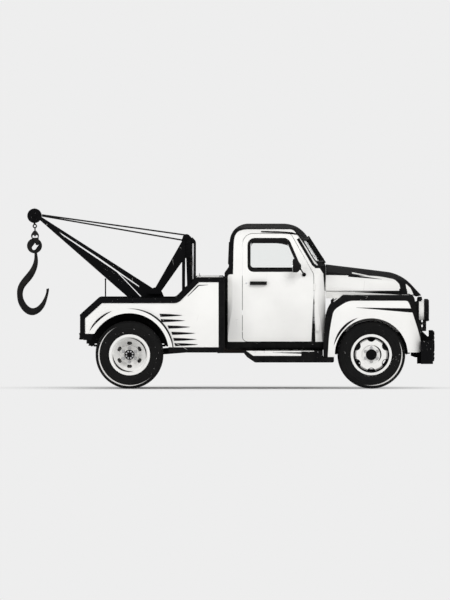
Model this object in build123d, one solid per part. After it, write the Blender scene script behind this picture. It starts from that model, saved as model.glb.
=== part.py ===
"""Light tow truck of the late 1940s pattern: rounded cab, pontoon front wings, flat recovery bed,
winch mast and a raised boom that carries a chain and a forged hook.

Millimetres. +X forward, +Y to the truck's left, +Z up. The origin is on the floor, midway between
the hook's rearmost point and the bumper's front face, on the centre plane.
"""

import os
from math import asin, cos, hypot, radians, sin, sqrt

from build123d import *

# ---------------------------------------------------------------- driving dimensions
# wheels and axles
WHEELBASE = 2950
REAR_AXLE_X = -1165
FRONT_AXLE_X = REAR_AXLE_X + WHEELBASE
TYRE_RADIUS = 414
TYRE_WIDTH = 195
RIM_RADIUS = 250  # outer edge of the rim flange
BEAD_RADIUS = 226
RIM_WIDTH = 140
DUAL_SPACING = 222  # between the centre planes of twin rear wheels
FRONT_TRACK = 1520  # between wheel centre planes
REAR_TRACK = 1550  # between the middles of the twin pairs
KINGPIN_Y = 640
SPINDLE_RADIUS = 24
HUB_RADIUS = 62
RUNNING_GAP = 1.0
AXLE_Z = TYRE_RADIUS

# chassis frame
FRAME_HALF_WIDTH = 395
RAIL_FLANGE = 62
RAIL_WALL = 9
FRAME_BOTTOM_Z = 545
FRAME_TOP_Z = 685
FRAME_REAR_X = -1690
FRAME_FRONT_X = 2385
CROSS_MEMBERS_X = (-1600, -780, -250, 560, 1330, 2300)
SPRING_Y = FRAME_HALF_WIDTH - RAIL_FLANGE / 2 - 2
SPRING_WIDTH = 60
LEAF_THICKNESS = 9
AXLE_TUBE_RADIUS = 44

# cab
CAB_REAR_X = -6
CAB_UPPER_REAR_X = 45
CAB_FRONT_X = 1225
CAB_WALL = 45
SILL_Z = 472
BELT_Z = 1400
ROOF_Z = 2003
COWL_Z = 1502
CAB_HALF_WIDTH = 812
ROOF_HALF_WIDTH = 702
FLOOR_Z = 705
FLOOR_THICKNESS = 14
SKIRT_HALF_WIDTH = 690
SCREEN_TOP_X = 905  # where the screen's line meets the roof's line
SCREEN_BOW = 100  # how far the screen's middle stands ahead of its ends
SCREEN_HALF_CHORD = 700
GLASS_THICKNESS = 6
PANEL_GAP = 6
CENTRE_BAR = 26

# doors
DOOR_REAR_X = 215
DOOR_FRONT_X = 1086
DOOR_BOTTOM_Z = 575
DOOR_TOP_Z = ROOF_Z - 113
WINDOW_TOP_Z = ROOF_Z - 164
WINDOW_TRIM = 38  # width of the black channel round a door's glass

# bonnet and front wings
BONNET_REAR_X = CAB_FRONT_X + PANEL_GAP
BONNET_SIDE_Z = 1192
BONNET_NOSE_X = 2391
SHEET = 9  # thickness of bonnet, wings and aprons
WING_OUTER_Y = 915
WING_INNER_Y = 440
WING_TOP_Z = 1146
WING_REAR_X = 1200
WING_FRONT_X = 2391
FRONT_ARCH_RADIUS = 446
HEADLAMP_Y = 690
HEADLAMP_Z = 950
HEADLAMP_RADIUS = 130
HEADLAMP_NOSE_X = 2490

# running boards
BOARD_TOP_Z = 462
BOARD_BOTTOM_Z = 320
BOARD_INNER_Y = 700
BOARD_OUTER_Y = 925
BOARD_WALL = 8

# recovery bed
BED_FRONT_X = -16
BED_REAR_X = -1769
BED_HALF_WIDTH = 1000
BED_PANEL = 30
BED_BOTTOM_Z = 442
BED_TAIL_Z = 594
DECK_Z = 1045
DECK_THICKNESS = 25
RAIL_TOP_Z = 1107
BED_BAND = 62  # depth of the edge rail
REAR_ARCH = (-1170, 438)
REAR_ARCH_RADIUS = 485
ARCH_LIP = 62
LOCKER_REAR_X = -340
LOCKER_TOP_Z = 1363
LOCKER_WALL = 12

# mast
MAST_Y = 200
POST_WIDTH = 70
POST_REAR_X = -525
POST_FRONT_X = -354
POST_WEB = 14
MAST_TOP_Z = 1868
MAST_SHEAVE = (-470, 1830)
SHEAVE_RADIUS = 40

# boom
PIVOT = (-854, 1160)
PIVOT_PIN_RADIUS = 24
BOOM_HEAD = (-2324, 2101)
HEAD_RADIUS = 86
HEAD_HALF_WIDTH = 50
BOOM_FOOT_Y = 112
BOOM_LEG_WIDTH = 46
ROPE_RADIUS = 10
ROPE_PITCH = 34  # radius of the rope's centre line round the mast's sheave

# winch
WINCH = (-414, 1600)
WINCH_SHAFT_RADIUS = 14
CRANK_LENGTH = 95

# chain and hook
HANGER_HALF_WIDTH = 11
HANGER_PIN_RADIUS = 13
CLEVIS_PIN = (-2291, 1763)
CLEVIS_PIN_RADIUS = 11
HOOK_EYE = (-2324, 1735)
HOOK_EYE_RADIUS = 92
HOOK_EYE_HALF_WIDTH = 19
HOOK_SLOT = dict(x=-2314, z=1731, length=105, width=50, lean=53.7)

# front bumper
BUMPER_FRONT_X = 2538
BUMPER_BOTTOM_Z = 301
BUMPER_BEAM_TOP_Z = 582
BUMPER_TOP_Z = 703

FAR = 4000

# ---------------------------------------------------------------- drawing helpers
SIDE = Plane(origin=(0, 0, 0), x_dir=(1, 0, 0), z_dir=(0, -1, 0))  # draws in (x, z)
FRONT = Plane.YZ  # draws in (y, z)


def moved_in(rows, inward):
    """Rows of the outline whose every edge lies inwards by the given distance."""
    if not inward:
        return rows
    pairs = list(zip(rows, (*rows[1:], rows[0])))
    turn = 1 if sum(p[0] * q[1] - q[0] * p[1] for p, q in pairs) > 0 else -1
    edges = []
    for (a0, u0, _), (a1, u1, _) in pairs:
        run, rise = a1 - a0, u1 - u0
        shift = turn * inward / hypot(run, rise)
        edges.append((a0 - rise * shift, u0 + run * shift, run, rise))
    moved = []
    for n, (_, _, radius) in enumerate(rows):
        (a0, u0, run0, rise0), (a1, u1, run1, rise1) = edges[n - 1], edges[n]
        bend = run0 * rise1 - rise0 * run1
        along = ((a1 - a0) * rise1 - (u1 - u0) * run1) / bend
        radius = max(radius - inward * (1 if bend * turn > 0 else -1), 0) if radius else 0
        moved.append((a0 + run0 * along, u0 + rise0 * along, radius))
    return tuple(moved)


def outline(rows, inward=0):
    """Closed face from rows of (across, up, corner radius), optionally with its edge moved in."""
    rows = moved_in(tuple(rows), inward)
    line = FilletPolyline([(a, u) for a, u, _ in rows], radius=[r for _, _, r in rows], close=True)
    return make_face(line.edges())


def mirrored(rows, peak=()):
    """Rows of an outline symmetric about the up axis, from its positive half, bottom to top."""
    return (*rows, *peak, *((-a, u, r) for a, u, r in reversed(rows)))


def side_prism(face, y_low, y_high):
    """Extrudes a face drawn in (x, z) from y_low to y_high."""
    return Pos(0, y_high, 0) * extrude(SIDE * face, amount=y_high - y_low)


def front_prism(face, x_low, x_high):
    """Extrudes a face drawn in (y, z) from x_low to x_high."""
    return Pos(x_low, 0, 0) * extrude(FRONT * face, amount=x_high - x_low)


def plan_prism(face, z_low, z_high):
    """Extrudes a face drawn in (x, y) from z_low to z_high."""
    return Pos(0, 0, z_low) * extrude(face, amount=z_high - z_low)


def block(x, y, z):
    """Box from three (low, high) pairs."""
    size = [high - low for low, high in (x, y, z)]
    middle = [(low + high) / 2 for low, high in (x, y, z)]
    return Pos(*middle) * Box(*size)


def bar(start, end, radius):
    """Round bar between two points."""
    a, b = Vector(*start), Vector(*end)
    return extrude(Plane(origin=a, z_dir=b - a) * Circle(radius), amount=(b - a).length)


def across(x, z, radius, y_low, y_high):
    """Round bar along Y through (x, z)."""
    return bar((x, y_low, z), (x, y_high, z), radius)


def turned(rows):
    """Solid turned about the Y axis from rows of (along Y, radius, corner radius)."""
    return revolve(FRONT * outline(rows), axis=Axis.Y)


def mirror_y(shape):
    """Mirror image in the centre plane."""
    return mirror(shape, about=Plane.XZ)


def both_sides(shape):
    """The shape and its mirror image in the centre plane."""
    return [shape, mirror_y(shape)]


def fuse(*shapes):
    """One body from pieces that touch or overlap."""
    first, *rest = shapes
    return first.fuse(*rest) if rest else first


def loose(*shapes):
    """Pieces of one node that don't touch each other."""
    return Compound(children=[s for shape in shapes for s in shape.solids()])


PARTS = {}


def keep(name, shape):
    """Registers a finished node under its file name."""
    PARTS[name] = shape
    return shape


def keep_pair(name, left):
    """Registers a left-hand node and its mirror image."""
    keep(f"{name}_left", left)
    keep(f"{name}_right", mirror_y(left))


# ---------------------------------------------------------------- wheels
def tyre(centre_y):
    """Tyre as a turned section: bead, bulged wall, shoulder and a slightly crowned tread."""
    half, bead = TYRE_WIDTH / 2, RIM_WIDTH / 2 - 17
    wall = (BEAD_RADIUS + TYRE_RADIUS) / 2
    right = ((bead, BEAD_RADIUS, 0), (bead, RIM_RADIUS + 3, 0), (half + 3, wall - 10, 60),
             (half - 8, TYRE_RADIUS - 8, 24))
    section = mirrored(right, peak=((0, TYRE_RADIUS + 2, 300),))
    return Pos(0, centre_y, 0) * turned(section)


def rim():
    """Turned rim with both flanges and a drop centre."""
    half = RIM_WIDTH / 2
    outer = ((half, RIM_RADIUS), (half - 9, RIM_RADIUS), (half - 12, BEAD_RADIUS), (32, BEAD_RADIUS - 3),
             (22, BEAD_RADIUS - 24))
    inner = ((18, BEAD_RADIUS - 33), (27, BEAD_RADIUS - 12), (half - 2, BEAD_RADIUS - 8))
    rows = (*outer, *((-y, r) for y, r in reversed(outer)), *((-y, r) for y, r in reversed(inner)), *inner)
    return turned([(y, r, 0) for y, r in rows])


HAND_HOLES = 6
DISC_THICKNESS = 9
DISC_BORE = SPINDLE_RADIUS + 14


def hole_ring(cutter, radius, first_deg):
    """Copies of a cutter that lies along Y, spaced evenly round the wheel's axis."""
    step = 360 / HAND_HOLES
    return [Rot(0, -(first_deg + n * step), 0) * Pos(radius, 0, 0) * cutter for n in range(HAND_HOLES)]


FRONT_WHEEL_Y = FRONT_TRACK / 2
FRONT_DISC_DISH = 52  # how far the front disc's face stands outside the rim's centre plane
FRONT_DISC_SEAT = FRONT_DISC_DISH - 14 - DISC_THICKNESS
FRONT_HOLE_RADIUS = 46
FRONT_HOLE_CIRCLE = 212
HUB_LENGTH = 96
HUB_NOSE = 42
FRONT_DRUM_RADIUS = 150


def front_wheels():
    """Steered wheels: convex disc with six hand holes at the rim, hub and drum."""
    out, t = FRONT_DISC_DISH, DISC_THICKNESS
    disc = turned((
        (2, BEAD_RADIUS - 26, 0), (12, BEAD_RADIUS - 26, 0), (out, 184, 12), (out, 122, 0),
        (out - 14, 108, 0), (out - 14, DISC_BORE, 0), (out - 14 - t, DISC_BORE, 0),
        (out - 14 - t, 112, 0), (out - t, 126, 0), (out - t, 180, 0),
    ))
    scoop = extrude(Plane.XZ * Circle(FRONT_HOLE_RADIUS), amount=RIM_WIDTH, both=True)
    within = turned(((5, 60, 0), (RIM_WIDTH, 60, 0), (RIM_WIDTH, BEAD_RADIUS - 34, 0), (5, BEAD_RADIUS - 34, 0)))
    for cut in hole_ring(scoop, FRONT_HOLE_CIRCLE, 90):
        disc = disc - (cut & within)
    hub = Pos(0, FRONT_DISC_SEAT, 0) * turned((
        (-HUB_LENGTH, 0, 0), (-HUB_LENGTH, FRONT_DRUM_RADIUS, 0), (-40, FRONT_DRUM_RADIUS, 0),
        (-40, 66, 0), (-18, 66, 0), (-14, 102, 0), (0, 102, 0), (0, HUB_RADIUS, 0),
        (HUB_NOSE, HUB_RADIUS - 4, 12), (HUB_NOSE + 8, 0, 0),
    ))
    bore = across(0, 0, SPINDLE_RADIUS + RUNNING_GAP, FRONT_DISC_SEAT - HUB_LENGTH - 1, FRONT_DISC_SEAT)
    wheel = fuse(rim(), disc, hub - bore)
    place = Pos(FRONT_AXLE_X, FRONT_WHEEL_Y, AXLE_Z)
    keep_pair("wheel_front", place * wheel)
    keep_pair("tyre_front", place * tyre(0))


REAR_WHEEL_Y = REAR_TRACK / 2
REAR_HOLE_CIRCLE = 141
REAR_HOLE = (62, 40)  # length round the wheel, width
REAR_DISC_SEAT = -DUAL_SPACING / 2 + 4  # inner face of a rear disc, from its rim's centre plane
REAR_DRUM_RADIUS = 172
REAR_HUB_NOSE = 150


def rear_wheel():
    """Deeply dished disc wheel with six oval hand holes, open towards +Y."""
    seat, t = REAR_DISC_SEAT, DISC_THICKNESS
    disc = turned((
        (-12, BEAD_RADIUS - 26, 0), (0, BEAD_RADIUS - 26, 0), (-16, 188, 12), (seat + t, 112, 0),
        (seat + t, HUB_RADIUS - 2, 0), (seat, HUB_RADIUS - 2, 0), (seat, 116, 0), (-26, 190, 0),
    ))
    slot = extrude(Plane.XZ * Rot(0, 0, 90) * SlotOverall(*REAR_HOLE), amount=DUAL_SPACING, both=True)
    for cut in hole_ring(slot, REAR_HOLE_CIRCLE, 90):
        disc = disc - cut
    return fuse(rim(), disc)


def rear_wheels():
    """Twin rear wheels on one hub, with the brake drum inboard."""
    half = DUAL_SPACING / 2
    outer = Pos(0, half, 0) * rear_wheel()
    inner = mirror_y(outer)
    drum_in, drum_out = -half - 92, -half - 6
    hub = turned((
        (drum_in, 0, 0), (drum_in, REAR_DRUM_RADIUS, 0), (drum_out, REAR_DRUM_RADIUS, 0),
        (drum_out, 74, 0), (-4, 74, 0), (-4, 100, 0), (4, 100, 0), (4, HUB_RADIUS, 0),
        (REAR_HUB_NOSE, HUB_RADIUS - 4, 14), (REAR_HUB_NOSE + 6, 0, 0),
    ))
    bore = across(0, 0, AXLE_TUBE_RADIUS + RUNNING_GAP, drum_in - 1, 12)
    pair = fuse(outer, hub - bore, inner)
    place = Pos(REAR_AXLE_X, REAR_WHEEL_Y, AXLE_Z)
    keep_pair("wheels_rear", place * pair)
    keep_pair("tyres_rear", place * loose(tyre(half), tyre(-half)))


# ---------------------------------------------------------------- axles and chassis
BEAM_TOP_Z = 376
BEAM_BOTTOM_Z = 318
BOSS_LOW, BOSS_HIGH = AXLE_Z - 43, AXLE_Z + 27


def front_axle():
    """Forged I-beam, dropped between the spring seats, with a boss for each kingpin."""
    rows = (
        (0, BEAM_BOTTOM_Z, 0), (SPRING_Y + 60, BEAM_BOTTOM_Z, 60), (KINGPIN_Y - 70, BOSS_LOW + 1, 40),
        (KINGPIN_Y - 30, BOSS_LOW + 1, 0), (KINGPIN_Y - 30, AXLE_Z + 14, 0), (KINGPIN_Y - 80, AXLE_Z + 14, 40),
        (SPRING_Y + 50, BEAM_TOP_Z, 60), (0, BEAM_TOP_Z, 0),
    )
    x = FRONT_AXLE_X
    half = front_prism(outline(rows), x - 24, x + 24)
    groove = ((30, 332, 6), (SPRING_Y + 42, 332, 50), (KINGPIN_Y - 105, 384, 6), (KINGPIN_Y - 105, 396, 6),
              (SPRING_Y + 36, 362, 50), (30, 362, 6))
    for low in (x - 30, x + 9):
        half = half - front_prism(outline(groove), low, low + 21)
    boss = Pos(x, KINGPIN_Y, (BOSS_LOW + BOSS_HIGH) / 2) * Cylinder(34, BOSS_HIGH - BOSS_LOW)
    half = fuse(half, boss)
    keep("front_axle", fuse(half, mirror_y(half)))


EAR = 22
STEER_ARM = 150
TIE_ROD_GAP = 4
PLATE_Y = FRONT_WHEEL_Y + FRONT_DISC_SEAT - HUB_LENGTH - 10


def knuckles():
    """Steering knuckle: fork round the axle's boss, spindle, brake plate and steering arm."""
    x, y = FRONT_AXLE_X, KINGPIN_Y
    low, high = BOSS_LOW - 1 - EAR, BOSS_HIGH + 1
    ears = [Pos(x, y, z + EAR / 2) * Cylinder(32, EAR) for z in (low, high)]
    yoke = block((x - 30, x + 30), (y + 37, y + 49), (low, high + EAR))
    ties = [block((x - 26, x + 26), (y, y + 43), (z, z + EAR)) for z in (low, high)]
    spindle = across(x, AXLE_Z, SPINDLE_RADIUS, y + 37, PLATE_Y + HUB_LENGTH)
    plate = across(x, AXLE_Z, FRONT_DRUM_RADIUS - 4, PLATE_Y, PLATE_Y + 7)
    arm = block((x - STEER_ARM, x), (y - 16, y + 16), (low, low + 16))
    eye = Pos(x - STEER_ARM, y, low + 8) * Cylinder(22, 16)
    keep_pair("knuckle", fuse(yoke, *ears, *ties, spindle, plate, arm, eye))


def tie_rod():
    """Track rod just below the two steering arms."""
    x, z = FRONT_AXLE_X - STEER_ARM, BOSS_LOW - 1 - EAR - TIE_ROD_GAP - 14
    rod = across(x, z, 11, -KINGPIN_Y, KINGPIN_Y)
    ends = [Pos(x, y, z) * Cylinder(22, 28) for y in (-KINGPIN_Y, KINGPIN_Y)]
    keep("tie_rod", fuse(rod, *ends))


BANJO_RADIUS = 150
GEARBOX_REAR_X = 700


def rear_axle():
    """Banjo axle with its propeller shaft up to the gearbox."""
    x = REAR_AXLE_X
    tube = across(x, AXLE_Z, AXLE_TUBE_RADIUS, -REAR_WHEEL_Y, REAR_WHEEL_Y)
    banjo = Pos(x, 0, AXLE_Z) * Sphere(BANJO_RADIUS) & block((x - 200, x + 200), (-96, 96), (0, FAR))
    cones = across(x, AXLE_Z, 62, -260, 260)
    nose = bar((x, 0, AXLE_Z), (x + 240, 0, AXLE_Z + 20), 66)
    shaft = bar((x + 200, 0, AXLE_Z + 17), (GEARBOX_REAR_X - 4, 0, FRAME_BOTTOM_Z + 17), 38)
    pads = [block((x - 55, x + 55), (side * SPRING_Y - 36, side * SPRING_Y + 36),
                  (AXLE_Z + 20, AXLE_Z + AXLE_TUBE_RADIUS + 6)) for side in (-1, 1)]
    keep("rear_axle", fuse(tube, banjo, cones, nose, shaft, *pads))


LEAF_PACKS = (
    dict(x=FRONT_AXLE_X, seat=BEAM_TOP_Z, half=470, leaves=6),
    dict(x=REAR_AXLE_X, seat=AXLE_Z + AXLE_TUBE_RADIUS + 6, half=500, leaves=7),
)


def leaf_springs():
    """Stepped leaf packs on the axles, with hangers up to the frame."""
    low, high = SPRING_Y - SPRING_WIDTH / 2, SPRING_Y + SPRING_WIDTH / 2
    packs = []
    for pack in LEAF_PACKS:
        x, leaves = pack["x"], pack["leaves"]
        top = pack["seat"] + leaves * LEAF_THICKNESS
        pieces = []
        for n in range(leaves):
            half = pack["half"] * (1 - n / (leaves + 1))
            z = top - n * LEAF_THICKNESS
            pieces.append(block((x - half, x + half), (low, high), (z - LEAF_THICKNESS, z)))
        for end in (x - pack["half"] + 40, x + pack["half"] - 40):
            rows = ((end - 25, top - 5, 0), (end + 25, top - 5, 0), (end + 40, FRAME_BOTTOM_Z, 0),
                    (end - 40, FRAME_BOTTOM_Z, 0))
            pieces.append(side_prism(outline(rows), low, high))
        packs.append(fuse(*pieces))
    keep("leaf_springs", loose(*[side for pack in packs for side in both_sides(pack)]))


def chassis_frame():
    """Ladder frame: two channel rails and six cross members."""
    inner = FRAME_HALF_WIDTH - RAIL_FLANGE
    rail = block((FRAME_REAR_X, FRAME_FRONT_X), (inner, FRAME_HALF_WIDTH), (FRAME_BOTTOM_Z, FRAME_TOP_Z))
    hollow = block((FRAME_REAR_X - 1, FRAME_FRONT_X + 1), (inner - 1, FRAME_HALF_WIDTH - RAIL_WALL),
                   (FRAME_BOTTOM_Z + RAIL_WALL, FRAME_TOP_Z - RAIL_WALL))
    reach = FRAME_HALF_WIDTH - RAIL_WALL / 2
    members = [block((x - 35, x + 35), (-reach, reach), (FRAME_TOP_Z - 75, FRAME_TOP_Z - RAIL_WALL / 2))
               for x in CROSS_MEMBERS_X]
    keep("chassis_frame", fuse(rail - hollow, mirror_y(rail - hollow), *members))


def engine():
    """Engine and gearbox as plain masses at their real place."""
    behind, ahead = CROSS_MEMBERS_X[4] - 46, CROSS_MEMBERS_X[4] + 46
    spine = side_prism(outline((
        (GEARBOX_REAR_X, 495, 12), (1150, 495, 20), (behind, 476, 20), (2000, 470, 30), (2060, 560, 20),
        (2060, 900, 0), (ahead, 900, 0), (ahead, 600, 0), (behind, 600, 0), (behind, 676, 20),
        (1150, 664, 20), (GEARBOX_REAR_X, 640, 12),
    )), -118, 118)
    block_and_head = block((ahead + 6, 2090), (-215, 215), (FRAME_BOTTOM_Z + 20, 1120))
    keep("engine", fuse(spine, block_and_head))


def radiator():
    """Radiator core with its top and bottom tanks."""
    x, half = FRONT_AXLE_X + 420, FRAME_HALF_WIDTH - 105
    low, high = FRAME_TOP_Z + 5, FRAME_TOP_Z + 400
    core = block((x - 30, x + 30), (-half, half), (low + 35, high - 60))
    tanks = [block((x - 45, x + 45), (-half, half), z) for z in ((low, low + 40), (high - 65, high))]
    keep("radiator", fuse(core, *tanks))


SILENCER_X = (-80, 480)
SILENCER_RADIUS = 72
PIPE_RADIUS = 24
DOWN_PIPE = 700
TAIL_PIPE = 520


def exhaust():
    """Down pipe, silencer and tail pipe inside the right rail."""
    y = SILENCER_RADIUS - 4 + RAIL_FLANGE - FRAME_HALF_WIDTH
    z = FRAME_BOTTOM_Z - 45
    rear, front = SILENCER_X
    keep("exhaust", fuse(bar((rear, y, z), (front, y, z), SILENCER_RADIUS),
                         bar((front - 10, y, z), (front + DOWN_PIPE, y, z), PIPE_RADIUS),
                         bar((rear - TAIL_PIPE, y, z), (rear + 10, y, z), PIPE_RADIUS)))


# ---------------------------------------------------------------- cab
CAB_SIDE = (
    (CAB_REAR_X, SILL_Z, 60), (CAB_REAR_X, BELT_Z, 30), (CAB_UPPER_REAR_X, BELT_Z + 70, 30),
    (CAB_UPPER_REAR_X + 21, ROOF_Z, 230), (SCREEN_TOP_X, ROOF_Z, 360), (CAB_FRONT_X, COWL_Z, 0),
    (CAB_FRONT_X, SILL_Z, 0),
)
CAB_FRONT = mirrored((
    (CAB_HALF_WIDTH - 42, SILL_Z, 50), (CAB_HALF_WIDTH, 950, 2500), (CAB_HALF_WIDTH, BELT_Z - 30, 600),
    (ROOF_HALF_WIDTH, ROOF_Z - 58, 150),
), peak=((0, ROOF_Z + 28, 1500),))
CAB_PLAN = (
    (CAB_REAR_X - 3, -CAB_HALF_WIDTH - 3, 130), (CAB_FRONT_X + 3, -CAB_HALF_WIDTH - 3, 130),
    (CAB_FRONT_X + 3, CAB_HALF_WIDTH + 3, 130), (CAB_REAR_X - 3, CAB_HALF_WIDTH + 3, 130),
)
SCREEN_RUN = CAB_FRONT_X - SCREEN_TOP_X  # the screen's lean over its height
SCREEN_RISE = ROOF_Z - COWL_Z
SCREEN_SIN = SCREEN_RISE / hypot(SCREEN_RUN, SCREEN_RISE)


def behind_screen(inward):
    """Everything behind the bowed screen's surface, moved inward by the given distance."""
    x = CAB_FRONT_X - inward / SCREEN_SIN
    half, bow = SCREEN_HALF_CHORD, SCREEN_BOW
    wing_x, wing_y = x - bow - 0.55 * 300, half + 300
    arc = ThreePointArc((x - bow, -half), (x, 0), (x - bow, half))
    rest = Polyline((x - bow, half), (wing_x, wing_y), (-FAR, wing_y), (-FAR, -wing_y), (wing_x, -wing_y),
                    (x - bow, -half))
    base = Pos(0, 0, COWL_Z) * make_face([arc, *rest.edges()])
    return extrude(base, amount=700, dir=Vector(-SCREEN_RUN, 0, SCREEN_RISE).normalized())


CAB_FORMS = {}


def cab_form(inward):
    """The cab's outer form, or the form that lies inward by the given distance."""
    if inward not in CAB_FORMS:
        form = side_prism(outline(CAB_SIDE, inward), -FAR, FAR)
        form = form & front_prism(outline(CAB_FRONT, inward), -FAR, FAR)
        form = form & plan_prism(outline(CAB_PLAN, inward), 0, FAR)
        above = block((-FAR, FAR), (-FAR, FAR), (COWL_Z, FAR))
        CAB_FORMS[inward] = form - (above - behind_screen(inward))
    return CAB_FORMS[inward]


DOOR_SIDE = (
    (DOOR_REAR_X, DOOR_BOTTOM_Z, 60), (DOOR_REAR_X, DOOR_TOP_Z, 130), (800, DOOR_TOP_Z, 60),
    (DOOR_FRONT_X - 6, BELT_Z - 5, 120), (DOOR_FRONT_X, DOOR_BOTTOM_Z, 50),
)
DOOR_WINDOW = (
    (274, BELT_Z + 24, 75), (274, WINDOW_TOP_Z, 90), (775, WINDOW_TOP_Z, 95), (955, BELT_Z + 24, 60),
)
SCREEN_CUT = mirrored(((688, COWL_Z + 46, 60), (634, ROOF_Z - 185, 62)))
REAR_WINDOW_CUT = mirrored(((480, BELT_Z + 130, 70), (470, ROOF_Z - 243, 70)))


def cab_shell():
    """Hollow cab: skin, floor, sills, firewall and roof, with door, screen and rear openings."""
    room = cab_form(CAB_WALL) & block((-FAR, FAR), (-FAR, FAR), (FLOOR_Z, FAR))
    under = block((-FAR, FAR), (-SKIRT_HALF_WIDTH, SKIRT_HALF_WIDTH), (0, FLOOR_Z - FLOOR_THICKNESS))
    shell = cab_form(0) - room - under
    doorway = side_prism(outline(DOOR_SIDE, -PANEL_GAP), 400, FAR)
    for cut in both_sides(doorway):
        shell = shell - cut
    bar_between = block((-FAR, FAR), (-CENTRE_BAR / 2, CENTRE_BAR / 2), (0, FAR))
    shell = shell - (front_prism(outline(SCREEN_CUT), 700, FAR) - bar_between)
    shell = shell - front_prism(outline(REAR_WINDOW_CUT), -FAR, 400)
    keep("cab_shell", shell)


def glass_slab():
    """Thin layer in the middle of the cab's wall, from which panes are cut."""
    depth = CAB_WALL / 2
    return cab_form(depth) - cab_form(depth + GLASS_THICKNESS)


def cab_glass():
    """Two windscreen panes and the rear pane."""
    bar_between = block((-FAR, FAR), (-CENTRE_BAR / 2, CENTRE_BAR / 2), (0, FAR))
    front = glass_slab() & (front_prism(outline(SCREEN_CUT), 700, FAR) - bar_between)
    rear = glass_slab() & front_prism(outline(REAR_WINDOW_CUT), -FAR, 400)
    keep("cab_glass", loose(front, rear))


HANDLE = dict(rear_x=305, front_x=525, z=1287, half=21)
MIRROR = dict(x=878, z=1492, radius=72, half_depth=52, stand_off=150, foot_x=965, foot_z=1392)


def door_trim():
    """Pieces on a door: window channel, handle and mirror."""
    band = side_prism(outline(DOOR_WINDOW), 400, FAR) - side_prism(outline(DOOR_WINDOW, WINDOW_TRIM), 400, FAR)
    channel = band & (cab_form(1) - cab_form(CAB_WALL - 4))
    skin, h, m = CAB_HALF_WIDTH, HANDLE, MIRROR
    handle = plan_prism(outline((
        (h["rear_x"], skin - 4, 0), (h["rear_x"], skin + 42, 14), (h["front_x"] - 60, skin + 42, 60),
        (h["front_x"], skin + 26, 8), (h["front_x"] - 20, skin + 16, 4), (h["rear_x"] + 60, skin + 22, 20),
        (h["rear_x"] + 44, skin - 4, 0),
    )), h["z"] - h["half"], h["z"] + h["half"])
    head = revolve(SIDE * outline((
        (-m["half_depth"], 0, 0), (-m["half_depth"], m["radius"], 10), (10, m["radius"], 46),
        (m["half_depth"], 22, 20), (m["half_depth"], 0, 0),
    )), axis=Axis.X)
    head_y = skin + m["stand_off"]
    head = Pos(m["x"], head_y, m["z"]) * head
    arm = bar((m["foot_x"], skin + 6, m["foot_z"]), (m["x"] + 30, head_y, m["z"] - 10), 9)
    foot = across(m["foot_x"], m["foot_z"], 24, skin - 6, skin + 14)
    skin_form = cab_form(0)
    return loose(channel, handle - skin_form, fuse(head, arm, foot) - skin_form)


def doors():
    """Doors as thick as the cab's wall, each with its pane, trim and mirror."""
    wall = cab_form(0) - cab_form(CAB_WALL)
    door = (wall & side_prism(outline(DOOR_SIDE), 400, FAR)) - side_prism(outline(DOOR_WINDOW), 400, FAR)
    keep_pair("door", door)
    keep_pair("door_glass", glass_slab() & side_prism(outline(DOOR_WINDOW, WINDOW_TRIM), 400, FAR))
    keep_pair("door_trim", door_trim())


def seat():
    """Bench seat: base, cushion and leaning back in one soft solid."""
    keep("seat", side_prism(outline((
        (95, FLOOR_Z, 0), (95, 1460, 50), (190, 1460, 50), (265, 1010, 20), (690, 1030, 60),
        (690, 900, 30), (620, FLOOR_Z, 0),
    )), -640, 640))


WHEEL_CENTRE = (800, 365, 1270)
COLUMN_TILT = radians(38)
STEERING_RADIUS = 215


def dashboard():
    """Dashboard with the steering column hung below it."""
    dash = side_prism(outline(((1080, 1180, 30), (1040, 1420, 40), (1178, 1448, 0), (1178, 1180, 0))), -700, 700)
    dash = dash & cab_form(CAB_WALL + 2)
    down = Vector(cos(COLUMN_TILT), 0, -sin(COLUMN_TILT))
    start = Vector(*WHEEL_CENTRE) + down * 32
    end = start + down * ((CAB_FRONT_X - CAB_WALL - start.X) / cos(COLUMN_TILT) - 22)
    column = bar(tuple(start), tuple(end), 24)
    y = WHEEL_CENTRE[1]
    bracket = block((1090, 1120), (y - 18, y + 18), (1030, 1200))
    keep("dashboard", fuse(dash, column, bracket))


def steering_wheel():
    """Thin rim, three spokes and a hub on the column's axis."""
    plane = Plane(origin=WHEEL_CENTRE, x_dir=(0, 1, 0), z_dir=(-cos(COLUMN_TILT), 0, sin(COLUMN_TILT)))
    rim_ring = revolve(Plane.XZ * Pos(STEERING_RADIUS, 0) * RectangleRounded(22, 26, 9), axis=Axis.Z)
    spokes = [Rot(0, 0, angle) * Pos(STEERING_RADIUS / 2, 0, 0) * Rot(0, 90, 0) * Cylinder(9, STEERING_RADIUS)
              for angle in (90, 210, 330)]
    keep("steering_wheel", plane * fuse(Cylinder(38, 44), *spokes, rim_ring))


# ---------------------------------------------------------------- bonnet, wings and grille
BONNET_SIDE = (
    (BONNET_REAR_X, BONNET_SIDE_Z, 0), (BONNET_REAR_X, COWL_Z + 6, 0), (2140, 1399, 520),
    (BONNET_NOSE_X, 1131, 0), (2330, 1120, 0), (2150, BONNET_SIDE_Z, 0),
)
BONNET_PLAN = (
    (BONNET_REAR_X, -800, 0), (1500, -800, 0), (BONNET_NOSE_X + 1, -475, 200), (BONNET_NOSE_X + 1, 475, 200),
    (1500, 800, 0), (BONNET_REAR_X, 800, 0),
)
# bonnet sections along X
BONNET_SECTIONS = (
    dict(x=BONNET_REAR_X - 1, side=655, shoulder=600, crown=1505),
    dict(x=1800, side=585, shoulder=525, crown=1438),
    dict(x=BONNET_NOSE_X + 30, side=455, shoulder=400, crown=1366),
)


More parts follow.
